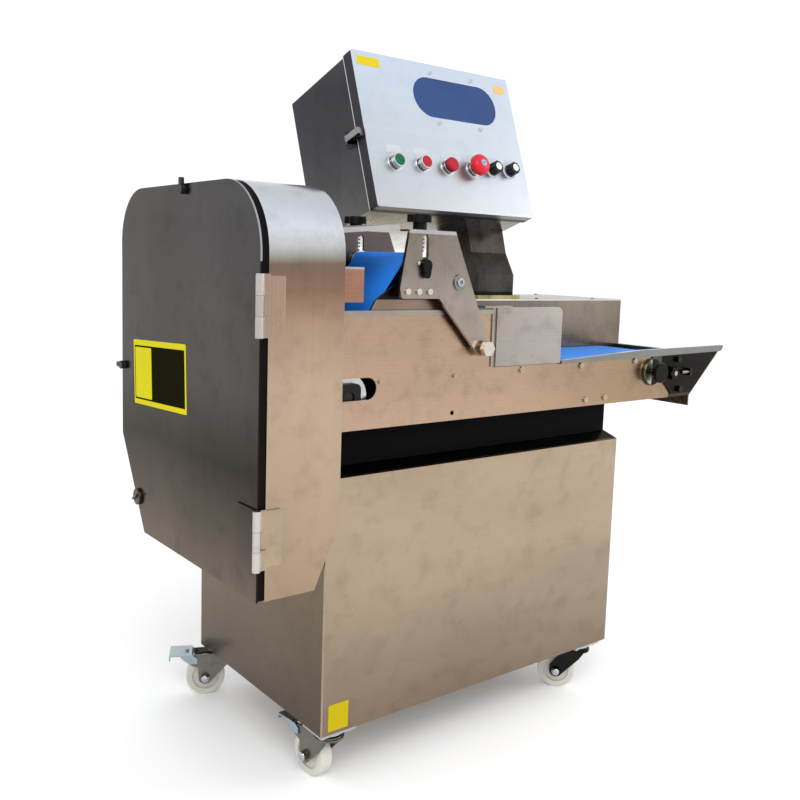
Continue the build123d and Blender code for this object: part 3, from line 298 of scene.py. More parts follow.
def clear_plastic(name, col, rough=0.08, coat=0.6, spec=0.5, over=(), over_metal=False):
    m, nt, b = new_mat(name)
    n = noise(nt, mapping(nt, (6, 6, 6)), 1.0, 3.0)
    c = ramp(nt, n.outputs["Fac"], [(0.3, tuple(v * 0.85 for v in col)), (0.7, tuple(v * 1.12 for v in col))])
    tc = nt.nodes.new("ShaderNodeTexCoord")
    nt.links.new(put_over(nt, tc, c.outputs["Color"], over), b.inputs["Base Color"])
    if over and over_metal:
        nt.links.new(mask_of(nt, tc, over[0][0]), b.inputs["Metallic"])
    r = ramp(nt, n.outputs["Fac"], [(0.3, rough), (0.7, rough + 0.08)])
    nt.links.new(r.outputs["Color"], b.inputs["Roughness"])
    b.inputs["Specular IOR Level"].default_value = spec
    b.inputs["Coat Weight"].default_value = coat
    b.inputs["Coat Roughness"].default_value = 0.05
    return m


WARM_EDGE = (0.62, 0.58, 0.54)
M = {}
# painted shade and light: the ramp up Z darkens the cabinet towards the floor, faces turned to -X get painted shade,
# the deck above Z 0.5268 is painted near-black as shade under the conveyor, and faces turned front-left get a painted
# light tone
M["cabinet"] = brushed("cabinet_steel",
                       [(0.0, (0.225, 0.168, 0.122)), (0.3, (0.30, 0.235, 0.17)), (0.62, (0.365, 0.285, 0.205)),
                        (0.9, (0.385, 0.300, 0.210)), (1.0, (0.37, 0.28, 0.195))],
                       0.18, 0.30, "X", "Z", 0.10, 0.525, 0.13, 0.02,
                       side=([("NX", "<", -0.5)], (0.43, 0.395, 0.36)),
                       over=[([("Z", ">", 0.5268)], (0.010, 0.009, 0.011)),
                             ([("NY", "<", -0.2), ("NX", "<", -0.2), ("NZ", ">", -0.3)], (0.34, 0.27, 0.21))])
# painted reflection and shade: the ramp up Z runs from warm painted shade low down to a painted sky reflection near the
# top, and faces turned to +X get painted shade
M["housing"] = brushed("housing_steel",
                       [(0.0, (0.34, 0.25, 0.165)), (0.2, (0.40, 0.295, 0.205)), (0.52, (0.50, 0.37, 0.265)),
                        (0.66, (0.43, 0.295, 0.205)), (0.75, (0.265, 0.155, 0.112)), (0.815, (0.20, 0.14, 0.11)),
                        (0.832, (0.33, 0.33, 0.29)), (0.855, (0.52, 0.53, 0.53)), (0.90, (0.68, 0.72, 0.78)),
                        (1.0, (0.50, 0.52, 0.56))],
                       0.16, 0.28, "Z", "Z", 0.37, 0.98, 0.13, 0.02,
                       side=([("NX", ">", 0.5)], (0.35, 0.33, 0.32)))
# painted reflection: the door's dark ramp stands in for a dark room mirrored in it; faces not turned to -X get painted
# shade, with a painted highlight on them above Z 0.862, and the front edge (Y < -0.2575) gets a painted highlight
M["door"] = brushed("door_steel",
                    [(0.0, (0.155, 0.120, 0.096)), (0.10, (0.105, 0.083, 0.066)), (0.3, (0.032, 0.026, 0.019)),
                     (0.5, (0.088, 0.081, 0.079)), (0.70, (0.092, 0.086, 0.086)), (0.9, (0.074, 0.071, 0.073)),
                     (1.0, (0.080, 0.078, 0.080))],
                    0.16, 0.26, "Z", "Z", 0.37, 0.98, 0.22, 0.02,
                    over=[([("NX", ">", -0.5)], (0.018, 0.015, 0.014)),
                          ([("NX", ">", -0.5), ("Z", ">", 0.862)], (0.40, 0.41, 0.43)),
                          ([("Y", "<", -0.2575)], (0.58, 0.53, 0.50))])
M["door"].node_tree.nodes["Principled BSDF"].inputs["Specular Tint"].default_value = (0.75, 0.74, 0.72, 1)
# painted light and shade: the ramp along X darkens the plate to the right; the rolled lips get painted reflection
# tones, the lower right front and the faces turned to +X painted shade, top faces painted light and rear faces painted
# shade
M["plate"] = brushed("plate_steel",
                     [(0.0, (0.455, 0.312, 0.222)), (0.45, (0.43, 0.30, 0.205)), (0.75, (0.36, 0.248, 0.155)),
                      (1.0, (0.345, 0.24, 0.14))],
                     0.24, 0.32, "X", "X", -0.45, 0.50, 0.15, 0.01, relief=0.008,
                     over=[([("Y", "<", -0.2147), ("Z", ">", 0.684), ("X", ">", 0.07)], (0.23, 0.235, 0.225)),
                           ([("X", ">", 0.42), ("Z", "<", 0.612), ("NY", "<", -0.5)], (0.06, 0.042, 0.030)),
                           ([("NX", ">", 0.3)], (0.040, 0.030, 0.022)),
                           ([("Y", "<", -0.2147), ("Z", ">", 0.780), ("X", "<", 0.0)], (0.36, 0.32, 0.28)),
                           ([("NZ", ">", 0.5)], (0.60, 0.57, 0.53)),
                           ([("NY", ">", 0.5)], (0.16, 0.12, 0.09))])
# painted light: the ramp along X, and top faces painted lighter
M["guide"] = brushed("guide_steel", [(0.0, (0.34, 0.30, 0.265)), (0.4, (0.37, 0.335, 0.31)), (1.0, (0.40, 0.36, 0.335))],
                     0.24, 0.40, "X", "X", -0.12, 0.08, 0.16, 0.02,
                     over=[([("NZ", ">", 0.5)], (0.60, 0.57, 0.54))])
# painted light and shade: the ramp along X darkens the casing towards its ends, faces turned to +Y get a lighter
# painted tone, and the blue belt's painted reflection lies on the front faces near the belt
M["casing"] = brushed("casing_steel",
                      [(0.0, (0.15, 0.11, 0.085)), (0.45, (0.20, 0.165, 0.14)), (0.62, (0.235, 0.20, 0.17)),
                       (0.85, (0.26, 0.215, 0.175)), (1.0, (0.18, 0.145, 0.12))],
                      0.18, 0.30, "Z", "X", -0.05, 0.50, 0.20, 0.0, relief=0.01,
                      over=[([("NY", ">", 0.5)], (0.34, 0.27, 0.20))], painted_belt_reflection=((0.06, 0.12, 0.42), 0.715, 0.755, 0.30, 0.16))
# painted light and reflection: the ramp along X, and front faces painted light
M["cover"] = brushed("cover_steel",
                     [(0.0, (0.20, 0.17, 0.09)), (0.45, (0.24, 0.21, 0.12)), (0.62, (0.33, 0.32, 0.29)),
                      (1.0, (0.36, 0.35, 0.34))],
                     0.2, 0.36, "X", "X", -0.05, 0.50, 0.12, 0.03,
                     over=[([("NY", "<", -0.5)], (0.58, 0.54, 0.50))])
M["bed"] = brushed("bed_steel", [(0.0, (0.16, 0.12, 0.09)), (1.0, (0.22, 0.18, 0.15))],
                   0.2, 0.36, "X", "X", -0.3, 0.50, 0.12, 0.03)
# painted reflection and shade: the front guard gets a warm painted reflection, the rear guard and a band of front faces
# at Z 0.900 to 0.9085 painted shade, and top faces painted light
M["guard"] = brushed("guard_steel", [(0.0, (0.40, 0.39, 0.39)), (1.0, (0.46, 0.44, 0.44))],
                     0.22, 0.36, "X", "X", -0.45, -0.30, 0.10, 0.04,
                     over=[([("Y", "<", -0.211), ("Z", "<", 0.8535)], (0.34, 0.18, 0.12)),
                           ([("Y", ">", -0.0155), ("Z", "<", 0.915)], (0.11, 0.10, 0.11)),
                           ([("Z", "<", 0.9085), ("Z", ">", 0.90), ("NY", "<", -0.5)], (0.12, 0.11, 0.12)),
                           ([("NZ", ">", 0.5)], (0.62, 0.61, 0.60))])
# painted light and shade: the ramp up Z darkens the arm towards its top, the top front band gets a painted light tone,
# and edges and top faces get painted highlights
M["arm"] = brushed("arm_steel", [(0.0, (0.38, 0.30, 0.245)), (0.45, (0.34, 0.285, 0.255)), (0.8, (0.23, 0.20, 0.17)),
                                 (1.0, (0.21, 0.18, 0.15))], 0.25, 0.31, "Z", "Z", 0.71, 0.92, 0.20, 0.0, relief=0.004,
                   over=[([("Z", ">", 0.9135), ("NY", "<", -0.5)], (0.40, 0.40, 0.41)),
                         ([("NY", ">", -0.5)], (0.44, 0.40, 0.36)),
                         ([("NY", ">", -0.5), ("NZ", ">", 0.5)], (0.60, 0.58, 0.55))])
# painted shade and reflection: the warm brown stands for shade under the arm with warm colours mirrored in it; the rear
# part (Y > -0.060) and a strip at Y -0.2095 to -0.2022 get painted shade, and the front-most pieces (Y < -0.2305)
# painted highlight and light tones
M["press_sheet"] = brushed("press_sheet_steel", [(0.0, (0.26, 0.18, 0.135)), (1.0, (0.32, 0.23, 0.18))],
                           0.22, 0.36, "X", "X", -0.40, -0.10, 0.14, 0.04,
                           over=[([("Y", ">", -0.060)], (0.105, 0.085, 0.085)),
                                 ([("Y", ">", -0.2095), ("Y", "<", -0.2022), ("Z", ">", 0.806)], (0.022, 0.018, 0.017)),
                                 ([("Y", "<", -0.2305)], (0.62, 0.58, 0.52)),
                                 ([("Y", "<", -0.2305), ("X", ">", -0.217)], (0.24, 0.245, 0.24)),
                                 ([("Y", "<", -0.2335), ("X", ">", -0.217)], (0.42, 0.43, 0.42))])
# painted highlights on the knuckle and on the leaf edges
M["hinge"] = brushed("hinge_steel", [(0.0, (0.42, 0.32, 0.22)), (0.5, (0.44, 0.34, 0.25)), (1.0, (0.38, 0.265, 0.20))],
                     0.2, 0.36, "Z", "Z", 0.40, 0.85, 0.16, 0.05,
                     over=[([("X", "<", -0.5922)], (0.58, 0.53, 0.50)),
                           ([("NY", ">", -0.5), ("X", ">", -0.590)], (0.75, 0.70, 0.66))])
# painted reflection: the near-black face and the pale ring (X < 0.3495) stand for dark and light mirrored in the boss
M["bracket"] = brushed("bracket_steel", [(0.0, (0.010, 0.007, 0.0045)), (0.5, (0.007, 0.005, 0.0035)),
                                         (0.75, (0.005, 0.0035, 0.003)), (1.0, (0.010, 0.008, 0.006))], 0.2, 0.34,
                       "X", "Z", 0.60, 0.69, 0.2, 0.0, relief=0.01,
                       over=[([("Y", "<", -0.2150), ("X", "<", 0.3860)], (0.09, 0.085, 0.055)),
                             ([("Y", "<", -0.2178), ("Y", ">", -0.2218)], (0.014, 0.010, 0.009)),
                             ([("Y", "<", -0.2178), ("Y", ">", -0.2218), ("X", "<", 0.3495)], (0.40, 0.44, 0.33)),
                             ([("Y", "<", -0.2216)], (0.012, 0.008, 0.007))])
# painted shade: the column's dark colour is shade under the control box; the foot below Z 0.8052 gets a yellowish tone
# and the band just above it painted shade
M["column"] = brushed("column_steel", [(0.0, (0.050, 0.048, 0.046)), (0.35, (0.052, 0.047, 0.043)), (0.6, (0.040, 0.033, 0.028)),
                                       (1.0, (0.026, 0.022, 0.019))], 0.22, 0.34, "Z", "Z", 0.80, 0.95, 0.5, 0.0,
                      relief=0.01,
                      over=[([("Z", "<", 0.8052)], (0.36, 0.33, 0.14)),
                            ([("Z", ">", 0.8048), ("Z", "<", 0.812)], (0.012, 0.011, 0.010))])
# painted reflection: the dark ramp up Z is a mirrored room, the underside gets painted light and the top a painted sky
# reflection
M["box"] = brushed("box_steel", [(0.0, (0.110, 0.106, 0.104)), (0.18, (0.074, 0.070, 0.072)), (0.42, (0.050, 0.049, 0.057)),
                                 (0.8, (0.034, 0.033, 0.043)), (1.0, (0.055, 0.060, 0.070))],
                   0.2, 0.30, "Z", "Z", 0.95, 1.25, 0.18, 0.0, relief=0.01,
                   over=[([("NZ", "<", -0.5)], (0.82, 0.77, 0.73)), ([("NZ", ">", 0.5)], (0.45, 0.48, 0.53))])
# painted reflection: the blue-grey ramp up Z is sky mirrored in the lid; the -X side gets a dark painted reflection
# with painted highlights along its edges, the underside painted light and its inner part painted shade
M["lid"] = brushed("lid_steel", [(0.0, (0.46, 0.48, 0.51)), (0.5, (0.54, 0.59, 0.65)), (1.0, (0.59, 0.66, 0.77))],
                   0.28, 0.42, "X", "Z", 0.97, 1.25, 0.05, 0.01, relief=0.01,
                   over=[([("NX", "<", -0.5)], (0.034, 0.033, 0.042)),
                         ([("NX", "<", -0.5), ("W", "<", -0.0262)], (0.66, 0.66, 0.68)),
                         ([("NX", "<", -0.5), ("W", ">", -0.0016)], (0.66, 0.68, 0.72)),
                         ([("NZ", "<", -0.5)], (0.82, 0.76, 0.68)),
                         ([("NZ", "<", -0.5), ("W", "<", -0.016)], (0.20, 0.18, 0.16))])
M["steel"] = brushed("turned_steel", [(0.0, (0.52, 0.50, 0.48)), (1.0, (0.58, 0.57, 0.55))], 0.18, 0.34, "Y",
                     "Z", 0.0, 1.0, 0.1)
M["adjuster"] = brushed("adjuster_steel", [(0.0, (0.26, 0.26, 0.25)), (1.0, (0.32, 0.32, 0.31))], 0.2, 0.34, "Y",
                        "Z", 0.0, 1.0, 0.1, over=[([("Y", "<", -0.2302)], (0.016, 0.016, 0.015))])
M["roller_end"] = brushed("roller_steel", [(0.0, (0.50, 0.50, 0.50)), (1.0, (0.58, 0.58, 0.57))], 0.2, 0.34, "Y",
                          "Z", 0.0, 1.0, 0.1,
                          over=[([("Y", ">", -0.0518), ("Y", "<", -0.0475)], (0.85, 0.87, 0.88))])
# the shaft end inside the slot (Y < -0.2048) is painted dark as shade
M["drive_end"] = brushed("drive_roller_steel", [(0.0, (0.50, 0.50, 0.50)), (1.0, (0.58, 0.58, 0.57))], 0.2, 0.34,
                         "Y", "Z", 0.0, 1.0, 0.1, over=[([("Y", "<", -0.2048)], (0.03, 0.03, 0.03))])
# painted reflection: the end (Y < -0.2195) is painted near-black and its tip (Y < -0.2302) light
M["tail_end"] = brushed("tail_roller_steel", [(0.0, (0.50, 0.50, 0.50)), (1.0, (0.58, 0.58, 0.57))], 0.2, 0.34,
                        "Y", "Z", 0.0, 1.0, 0.1,
                        over=[([("Y", "<", -0.2195)], (0.014, 0.013, 0.012)),
                              ([("Y", "<", -0.2302)], (0.45, 0.44, 0.40))])
# the shank behind the head (Y > -0.2366) is painted darker as shade
M["bolt"] = brushed("pivot_steel", [(0.0, (0.60, 0.56, 0.47)), (1.0, (0.64, 0.60, 0.51))], 0.2, 0.36, "Y",
                    "Z", 0.0, 1.0, 0.12, over=[([("Y", ">", -0.2366)], (0.20, 0.15, 0.11))])
M["blade"] = brushed("blade_steel", [(0.0, (0.72, 0.72, 0.74)), (1.0, (0.76, 0.76, 0.78))], 0.1, 0.22, "Y", "Z",
                     0.4, 1.0, 0.06)
M["zinc"] = brushed("zinc_plate", [(0.0, (0.20, 0.195, 0.17)), (0.6, (0.22, 0.215, 0.19)), (1.0, (0.16, 0.16, 0.15))],
                    0.2, 0.36, "X", "Z", 0.0, 0.10, 0.3)
# painted shade: a near-black copy of the zinc for the front-right fork, which stands in deep shadow
M["zinc_painted_shade"] = brushed("zinc_plate_shaded", [(0.0, (0.014, 0.014, 0.014)), (0.6, (0.016, 0.016, 0.015)),
                                               (1.0, (0.020, 0.020, 0.020))], 0.24, 0.36, "X", "Z", 0.0, 0.10, 0.2)
M["pedal"] = brushed("pedal_zinc", [(0.0, (0.34, 0.42, 0.46)), (1.0, (0.40, 0.48, 0.52))],
                     0.2, 0.36, "X", "Z", 0.0, 0.10, 0.14)
# painted reflection: fastener heads right of X 0.43 above Z 0.56 are painted near-black, mirroring the dark there
M["fastener"] = brushed("fastener_steel", [(0.0, (0.45, 0.46, 0.46)), (0.16, (0.45, 0.44, 0.42)),
                                           (1.0, (0.44, 0.36, 0.29))],
                        0.2, 0.34, "X", "Z", 0.0, 0.65, 0.12,
                        over=[([("X", ">", 0.43), ("Z", ">", 0.56)], (0.030, 0.024, 0.020)),
                              ([("X", ">", 0.452), ("X", "<", 0.4745), ("Z", ">", 0.64), ("Z", "<", 0.66)],
                               (0.20, 0.18, 0.15)),
                              ([("Z", ">", 0.0915), ("Z", "<", 0.0969)], (0.46, 0.45, 0.44))])
M["chrome"] = brushed("satin_chrome", [(0.0, (0.60, 0.60, 0.60)), (1.0, (0.68, 0.68, 0.68))], 0.12, 0.22, "Z",
                      "Z", 0.9, 1.26, 0.04, 0.0,
                      over=[([("NW", "<", 0.5), ("W", ">", 0.0051)], (0.42, 0.42, 0.43)),
                            ([("W", ">", 0.0022), ("W", "<", 0.0051)], (0.004, 0.004, 0.004)),
                            ([("W", "<", 0.0022)], (0.74, 0.74, 0.72)),
                            ([("W", "<", -0.0025)], (0.06, 0.065, 0.07))])
M["riser"] = painted("riser_black", (0.0028, 0.0024, 0.0030), 0.5, 0.12, 0.02, spec=0.02)
M["seal"] = painted("seal_rubber", (0.0050, 0.0036, 0.0032), 0.6, 0.12, 0.2, spec=0.04)
M["latch"] = painted("latch_nylon", (0.010, 0.010, 0.010), 0.38, 0.1, 0.1, spec=0.25)
# painted reflection: the lower latch takes the door's dark painted reflection tone
M["latch_steel"] = brushed("latch_steel", [(0.0, (0.085, 0.066, 0.050)), (1.0, (0.075, 0.060, 0.048))], 0.3, 0.4, "Y",
                           "Z", 0.3, 0.6, 0.1)
M["casting"] = painted("black_casting", (0.006, 0.006, 0.007), 0.42, 0.14, 0.3, spec=0.15)
M["motor"] = painted("motor_paint", (0.10, 0.13, 0.17), 0.42, 0.12, 0.12)
M["vbelt"] = painted("drive_belt_rubber", (0.012, 0.012, 0.012), 0.6, 0.1, 0.3)
M["green"] = clear_plastic("button_green_plastic", (0.004, 0.108, 0.047), 0.35, 0.05, 0.15)
M["red"] = clear_plastic("button_red_plastic", (0.35, 0.010, 0.024), 0.35, 0.05, 0.15)
M["red_stop"] = clear_plastic("stop_button_red_plastic", (0.60, 0.014, 0.026), 0.32, 0.1, 0.2)
M["knob"] = painted("knob_plastic", (0.0045, 0.0042, 0.0045), 0.34, 0.1, 0.08, spec=0.10)
M["dial"] = painted("dial_knob_plastic", (0.008, 0.008, 0.008), 0.32, 0.1, 0.05, spec=0.25,
                    over=[([("W", ">", 0.0202), ("NW", ">", 0.9)], (0.66, 0.67, 0.68))], over_metal=False)
M["window"] = clear_plastic("window_acrylic", (0.018, 0.050, 0.160), 0.16, 0.08, 0.20,
                            over=[([("W", ">", -0.0004)], (0.56, 0.57, 0.58))], over_metal=True)
M["nylon"] = painted("wheel_nylon", (0.56, 0.55, 0.49), 0.38, 0.12, 0.06, mottle=0.05, spec=0.4)
M["belt"] = belting("blue_belting", (0.013, 0.218, 0.74))
# painted light: a brighter copy of the blue belting for the press belt, making up for the shade under the control box
M["belt_press"] = belting("press_blue_belting", (0.021, 0.25, 0.97))
M["toggle"] = brushed("toggle_latch_steel", [(0.0, (0.24, 0.235, 0.23)), (1.0, (0.34, 0.34, 0.34))], 0.2, 0.34, "X",
                      "Z", 0.9, 1.26, 0.2)
M["hub"] = brushed("hub_cap_chrome", [(0.0, (0.44, 0.46, 0.47)), (1.0, (0.52, 0.54, 0.55))], 0.10, 0.2, "Z",
                   "Z", 0.0, 0.08, 0.05)
M["white"] = painted("white_plastic", (0.78, 0.78, 0.76), 0.4, 0.08, 0.03)
M["yellow"] = painted("yellow_film", (0.60, 0.53, 0.006), 0.5, 0.08, 0.02, mottle=0.03, spec=0.03)
M["yellow_small"] = painted("yellow_film_small", (0.46, 0.36, 0.006), 0.5, 0.08, 0.02, mottle=0.03, spec=0.05)
M["sticker"] = painted("sticker_film", (0.56, 0.44, 0.012), 0.5, 0.06, 0.01, mottle=0.02, spec=0.1)
M["sticker_pale"] = painted("sticker_film_pale", (0.62, 0.42, 0.16), 0.5, 0.06, 0.01, mottle=0.02, spec=0.1)
M["black_film"] = painted("black_film", (0.010, 0.010, 0.004), 0.6, 0.08, 0.02, spec=0.0)
M["legend"] = painted("legend_film", (0.47, 0.50, 0.54), 0.5, 0.06, 0.02, mottle=0.02, spec=0.1)
M["blue_grey"] = painted("centre_disc_film", (0.16, 0.22, 0.34), 0.35, 0.06, 0.02, mottle=0.02, spec=0.3)
M["dark_hole"] = painted("dark_recess", (0.006, 0.006, 0.007), 0.7, 0.05, 0.02, spec=0.1)

# node -> finish
finish_of = {
    "cabinet_shell": "cabinet", "rear_panel": "cabinet", "riser_frame": "riser",
    "knife_housing": "housing", "housing_door": "door", "door_gasket": "seal", "hinge_brackets": "hinge",
    "latch_top": "latch", "latch_rear": "latch", "latch_lower": "latch_steel",
    "conveyor_front_plate": "plate", "drive_casing": "casing", "casing_cover": "cover", "slider_bed": "bed",
    "guide_plate": "guide", "tail_bracket": "bracket", "throat_guards": "guard",
    "feed_belt": "belt", "feed_drive_roller": "drive_end", "feed_tail_roller": "tail_end",
    "shaft_bearings": "casting",
    "main_shaft": "steel", "cutter_wheel": "steel", "cutter_blades": "blade",
    "electric_drives": "motor", "motor_pulley": "steel", "cutter_belts": "vbelt",
    "press_arm": "arm", "press_frame": "press_sheet", "press_belt": "belt_press", "press_adjusters": "adjuster",
    "press_roller_front": "steel", "press_roller_rear": "steel", "press_roller_top": "roller_end",
    "star_knob_front": "knob", "star_knob_rear": "knob", "pivot_bolts": "bolt",
    "control_box": "box", "control_lid": "lid", "lid_window": "window", "button_bezels": "chrome",
    "button_green": "green", "button_red": "red", "button_stop": "red", "estop_button": "red_stop",
    "speed_knob_left": "dial", "speed_knob_right": "dial", "lid_latch": "toggle", "control_column": "column",
    "frame_fasteners": "fastener",
}
for n in nodes:
    if n.startswith("caster_wheel"):
        finish_of[n] = "nylon"
    elif n.startswith("caster_pedal"):
        finish_of[n] = "pedal"
    elif n.startswith("caster_"):
        finish_of[n] = "zinc"
# the front-right fork takes the painted-shade copy of the zinc
finish_of["caster_fork_front_right"] = "zinc_painted_shade"
for n, o in nodes.items():
    o.data.materials.clear()
    o.data.materials.append(M[finish_of[n]])


def soften(name, width=0.0006, segments=2, angle=35):
    """Small rounded edges on a CAD piece, so that they catch the light."""
    o = nodes[name]
    bv = o.modifiers.new("soft_edges", "BEVEL")
    bv.width = width
    bv.segments = segments
    bv.limit_method = "ANGLE"
    bv.angle_limit = math.radians(angle)
    bv.use_clamp_overlap = True
    bv.harden_normals = False


# ---------------------------------------------------------------------------
# Mesh helpers
# ---------------------------------------------------------------------------
def obj_from(bm, name, mat, body, smooth=False):
    me = bpy.data.meshes.new(name)
    bmesh.ops.recalc_face_normals(bm, faces=bm.faces)
    bm.to_mesh(me)
    bm.free()
    o = bpy.data.objects.new(name, me)
    scene.collection.objects.link(o)
    me.materials.append(M[mat])
    if smooth:
        for p in me.polygons:
            p.use_smooth = True
        me.set_sharp_from_angle(angle=math.radians(35))
    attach(o, body)
    return o


def slab(name, origin, ux, uy, outline, thick, mat, body, bevel=0.0):
    """Flat plate: outline in (ux, uy) from origin, raised by thick along ux x uy."""
    bm = bmesh.new()
    n = ux.cross(uy).normalized()
    vs = [bm.verts.new(origin + ux * a + uy * b) for a, b in outline]
    f = bm.faces.new(vs)
    r = bmesh.ops.extrude_face_region(bm, geom=[f])
    top = [e for e in r["geom"] if isinstance(e, bmesh.types.BMVert)]
    bmesh.ops.translate(bm, verts=top, vec=n * thick)
    if bevel:
        edges = [e for e in bm.edges if all(v in top for v in e.verts)]
        bmesh.ops.bevel(bm, geom=edges, offset=bevel, segments=2, affect="EDGES", profile=0.6)
    return obj_from(bm, name, mat, body)


def rounded(w, h, r, seg=6):
    """Rounded rectangle outline centred on the origin, in metres."""
    out = []
    for cx, cy, a0 in ((w / 2 - r, h / 2 - r, 0), (-w / 2 + r, h / 2 - r, 90), (-w / 2 + r, -h / 2 + r, 180),
                       (w / 2 - r, -h / 2 + r, 270)):
        for i in range(seg + 1):
            a = math.radians(a0 + 90 * i / seg)
            out.append((cx + r * math.cos(a), cy + r * math.sin(a)))
    return out


def lathe(name, origin, axis, profile, mat, body, seg=40, ref=None):
    """Closed profile [(radius, height)] in mm turned about axis through origin."""
    axis = axis.normalized()
    ref = ref or (Vector((0, 0, 1)) if abs(axis.z) < 0.9 else Vector((1, 0, 0)))
    a = axis.cross(ref).normalized()
    b = axis.cross(a)
    bm = bmesh.new()
    rings = []
    for r, h in profile:
        if r < 1e-6:
            rings.append([bm.verts.new(origin + axis * (h / 1000))])
        else:
            rings.append([bm.verts.new(origin + axis * (h / 1000) + (a * math.cos(t) + b * math.sin(t)) * (r / 1000))
                          for t in (2 * math.pi * i / seg for i in range(seg))])
    for k in range(len(rings)):
        p, q = rings[k], rings[(k + 1) % len(rings)]
        if len(p) == 1 and len(q) == 1:
            continue
        for i in range(seg):
            j = (i + 1) % seg
            if len(p) == 1:
                bm.faces.new((p[0], q[i], q[j]))
            elif len(q) == 1:
                bm.faces.new((p[i], q[0], p[j]))
            else:
                bm.faces.new((p[i], q[i], q[j], p[j]))
    return obj_from(bm, name, mat, body, smooth=True)


# ---------------------------------------------------------------------------
# Door plate, cabinet plate, lid plates: blank generic plates
# ---------------------------------------------------------------------------
EY, EZ, EX = Vector((0, 1, 0)), Vector((0, 0, 1)), Vector((1, 0, 0))


def plate_yz(name, x, y0, y1, z0, z1, thick, mat, body, about=(90.0, 666.0), turn=0.0, r=0.002):
    """Film on a face towards -X, turned a little about a point of that face."""
    a = math.radians(turn)
    ux, uy = -EY * math.cos(a) + EZ * math.sin(a), EZ * math.cos(a) + EY * math.sin(a)
    dy, dz = about[0] - (y0 + y1) / 2, (z0 + z1) / 2 - about[1]
    o = P(x, about[0], about[1]) + (ux * dy + uy * dz) / 1000
    return slab(name, o, ux, uy, rounded((y1 - y0) / 1000, (z1 - z0) / 1000, r), thick, mat, body)


plate_yz("door_plate_yellow", -443, -19, 199, 609, 724, 0.0005, "yellow", "door", turn=2.6)
plate_yz("door_plate_dark", -443.5, -14, 194, 618, 714, 0.0002, "black_film", "door", turn=2.6)
plate_yz("door_plate_panel", -443.7, 120, 191, 621, 711, 0.0002, "yellow", "door", turn=2.6)


def plate_front(name, x0, x1, z0, z1, y, mat, body):
    o = P((x0 + x1) / 2, y, (z0 + z1) / 2)
    return slab(name, o, EX, EZ, rounded((x1 - x0) / 1000, (z1 - z0) / 1000, 0.0015), 0.0004, mat, body)


plate_front("cabinet_plate", -287, -248, 111, 156, -220, "yellow_small", "frame")


def panel_plate(name, u0, u1, v0, v1, mat, r=1.0, w=0.0, thick=0.0003):
    o = PN((u0 + u1) / 2, (v0 + v1) / 2, w)
    return slab(name, o, PU, PV, rounded((u1 - u0) / 1000, (v1 - v0) / 1000, r / 1000), thick, mat, "lid")


for k, u in enumerate((58, 124, 190, 247, 316, 362)):
    panel_plate("legend_%d" % k, u - 17, u + 17, 108, 124, "legend", 1.5)

# plain films in the lid's upper corners
panel_plate("lid_film_left", 10, 62, 279, 297, "sticker", 1.5)
panel_plate("lid_film_right", 356, 388, 271, 290, "sticker_pale", 9.0)


# ---------------------------------------------------------------------------
# Small pieces on the panel: stop button's centre, dial rings
# ---------------------------------------------------------------------------
def panel_lathe(name, u, v, profile, mat, body, seg=40):
    return lathe(name, PN(u, v, 0), PW, profile, mat, body, seg, ref=PU)


panel_lathe("estop_centre", 253.5, 94, [(0, 34.0), (7.6, 34.0), (7.6, 34.3), (7.2, 34.4), (0, 34.4)], "blue_grey",
            "estop")
panel_lathe("estop_centre_ring", 253.5, 94, [(4.0, 34.4), (5.2, 34.4), (5.2, 34.55), (4.0, 34.55)], "legend", "estop")
for k, (u, v) in enumerate(((306.5, 97), (354.5, 98.5))):
    panel_lathe("dial_ring_%d" % k, u, v, [(13.2, 0.0), (17.0, 0.0), (17.0, 0.6), (13.2, 0.8)], "legend", "lid")

# domed caps pressed over the ends of the caster axles
for n, (cx, cy), ang in (("front_left", (-266, -192), 96.0), ("rear_left", (-256, 196), 153.0),
                         ("front_right", (348, -192), 130.0), ("rear_right", (352, 196), 60.0)):
    a = math.radians(ang)
    tx, ty = math.cos(a), math.sin(a)
    for k, sgn in enumerate((1, -1)):
        out = Vector((-ty * sgn, tx * sgn, 0))
        o = P(cx + 40 * tx, cy + 40 * ty, 42.5) + out * 0.025
        lathe("hub_cap_%s_%d" % (n, k), o, out, [(0, 0.0), (8.0, 0.0), (7.6, 1.6), (6.0, 3.0), (3.4, 3.9), (0, 4.2)],
              "hub", "fork_" + n, seg=28)

# ---------------------------------------------------------------------------
# Camera: solved from the photograph's edges
# ---------------------------------------------------------------------------
az, pitch, roll = map(math.radians, (37.949, 6.656, 1.815))
F = Vector((math.sin(az) * math.cos(pitch), math.cos(az) * math.cos(pitch), -math.sin(pitch)))
right0 = Vector((math.cos(az), -math.sin(az), 0))
up0 = right0.cross(F)
R = right0 * math.cos(roll) + up0 * math.sin(roll)
U = up0 * math.cos(roll) - right0 * math.sin(roll)
cam_data = bpy.data.cameras.new("camera")
cam = bpy.data.objects.new("camera", cam_data)
scene.collection.objects.link(cam)
m3 = Matrix((R, U, -F)).transposed()
cam.matrix_world = Matrix.Translation(P(-1067.03, -1375.14, 871.10)) @ m3.to_4x4()
cam_data.lens = 40.798
cam_data.sensor_width = 36
cam_data.shift_x = 0.00235
cam_data.shift_y = -0.0397
cam_data.clip_start, cam_data.clip_end = 0.05, 60
scene.camera = cam

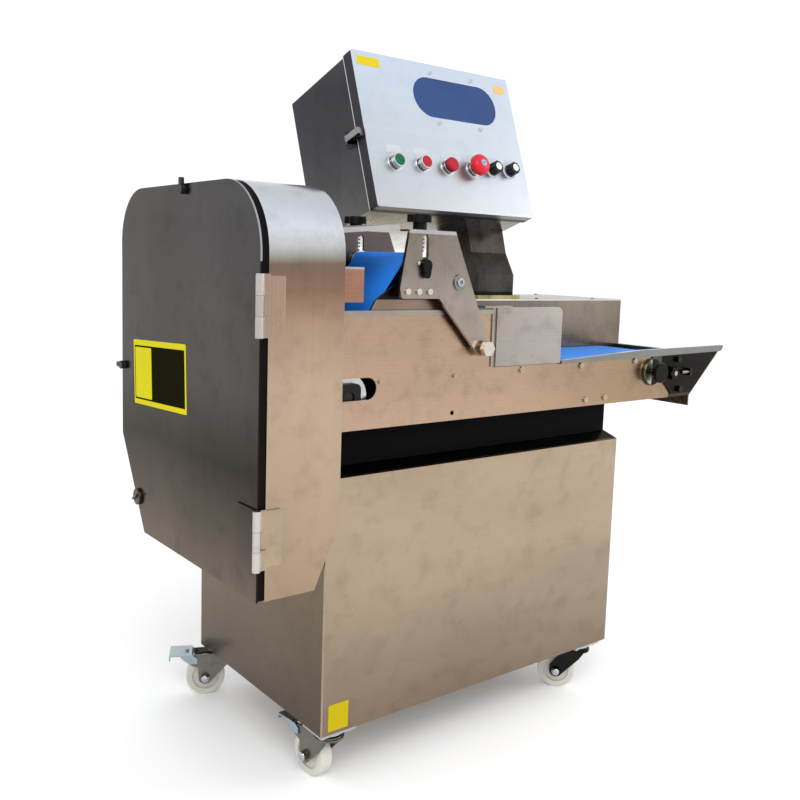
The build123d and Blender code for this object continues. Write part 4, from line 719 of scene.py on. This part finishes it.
# ---------------------------------------------------------------------------
# Floor and soft studio light
# ---------------------------------------------------------------------------
bm = bmesh.new()
bmesh.ops.create_grid(bm, x_segments=1, y_segments=1, size=14)
me = bpy.data.meshes.new("floor")
bm.to_mesh(me)
bm.free()
floor = bpy.data.objects.new("floor", me)
scene.collection.objects.link(floor)
fm, fnt, fb = new_mat("pale_floor")
fb.inputs["Roughness"].default_value = 0.9
fn = noise(fnt, mapping(fnt, (3, 3, 3)), 1.0, 3.0)
fr = ramp(fnt, fn.outputs["Fac"], [(0.3, (0.93, 0.93, 0.93)), (0.7, (0.95, 0.95, 0.95))])
fnt.links.new(fr.outputs["Color"], fb.inputs["Base Color"])
fnt.links.new(fr.outputs["Color"], fb.inputs["Emission Color"])
fb.inputs["Emission Strength"].default_value = 0.06
me.materials.append(fm)

world = bpy.data.worlds.new("studio")
scene.world = world
world.use_nodes = True
wnt = world.node_tree
bg = wnt.nodes["Background"]
wtc = wnt.nodes.new("ShaderNodeTexCoord")
wsep = wnt.nodes.new("ShaderNodeSeparateXYZ")
wnt.links.new(wtc.outputs["Generated"], wsep.inputs[0])
wr = ramp(wnt, wsep.outputs["Z"], [(0.0, (1.0, 1.0, 1.0)), (0.3, (1.0, 1.0, 1.0)), (1.0, (0.96, 0.98, 1.0))])
wnt.links.new(wr.outputs["Color"], bg.inputs["Color"])
bg.inputs["Strength"].default_value = 1.05


def area(name, loc, target, size, energy, color=(1, 1, 1)):
    ld = bpy.data.lights.new(name, "AREA")
    ld.shape = "RECTANGLE"
    ld.size, ld.size_y = size
    ld.energy = energy
    ld.color = color
    o = bpy.data.objects.new(name, ld)
    scene.collection.objects.link(o)
    o.location = loc
    o.rotation_mode = "QUATERNION"
    o.rotation_quaternion = (Vector(target) - Vector(loc)).to_track_quat("-Z", "Y")
    return o


area("key", (-1.6, -2.6, 3.0), (0, 0, 0.6), (2.4, 1.6), 60)
area("fill", (2.8, -2.0, 1.8), (0, 0, 0.6), (1.8, 1.8), 25)
scene.view_settings.view_transform = "Standard"
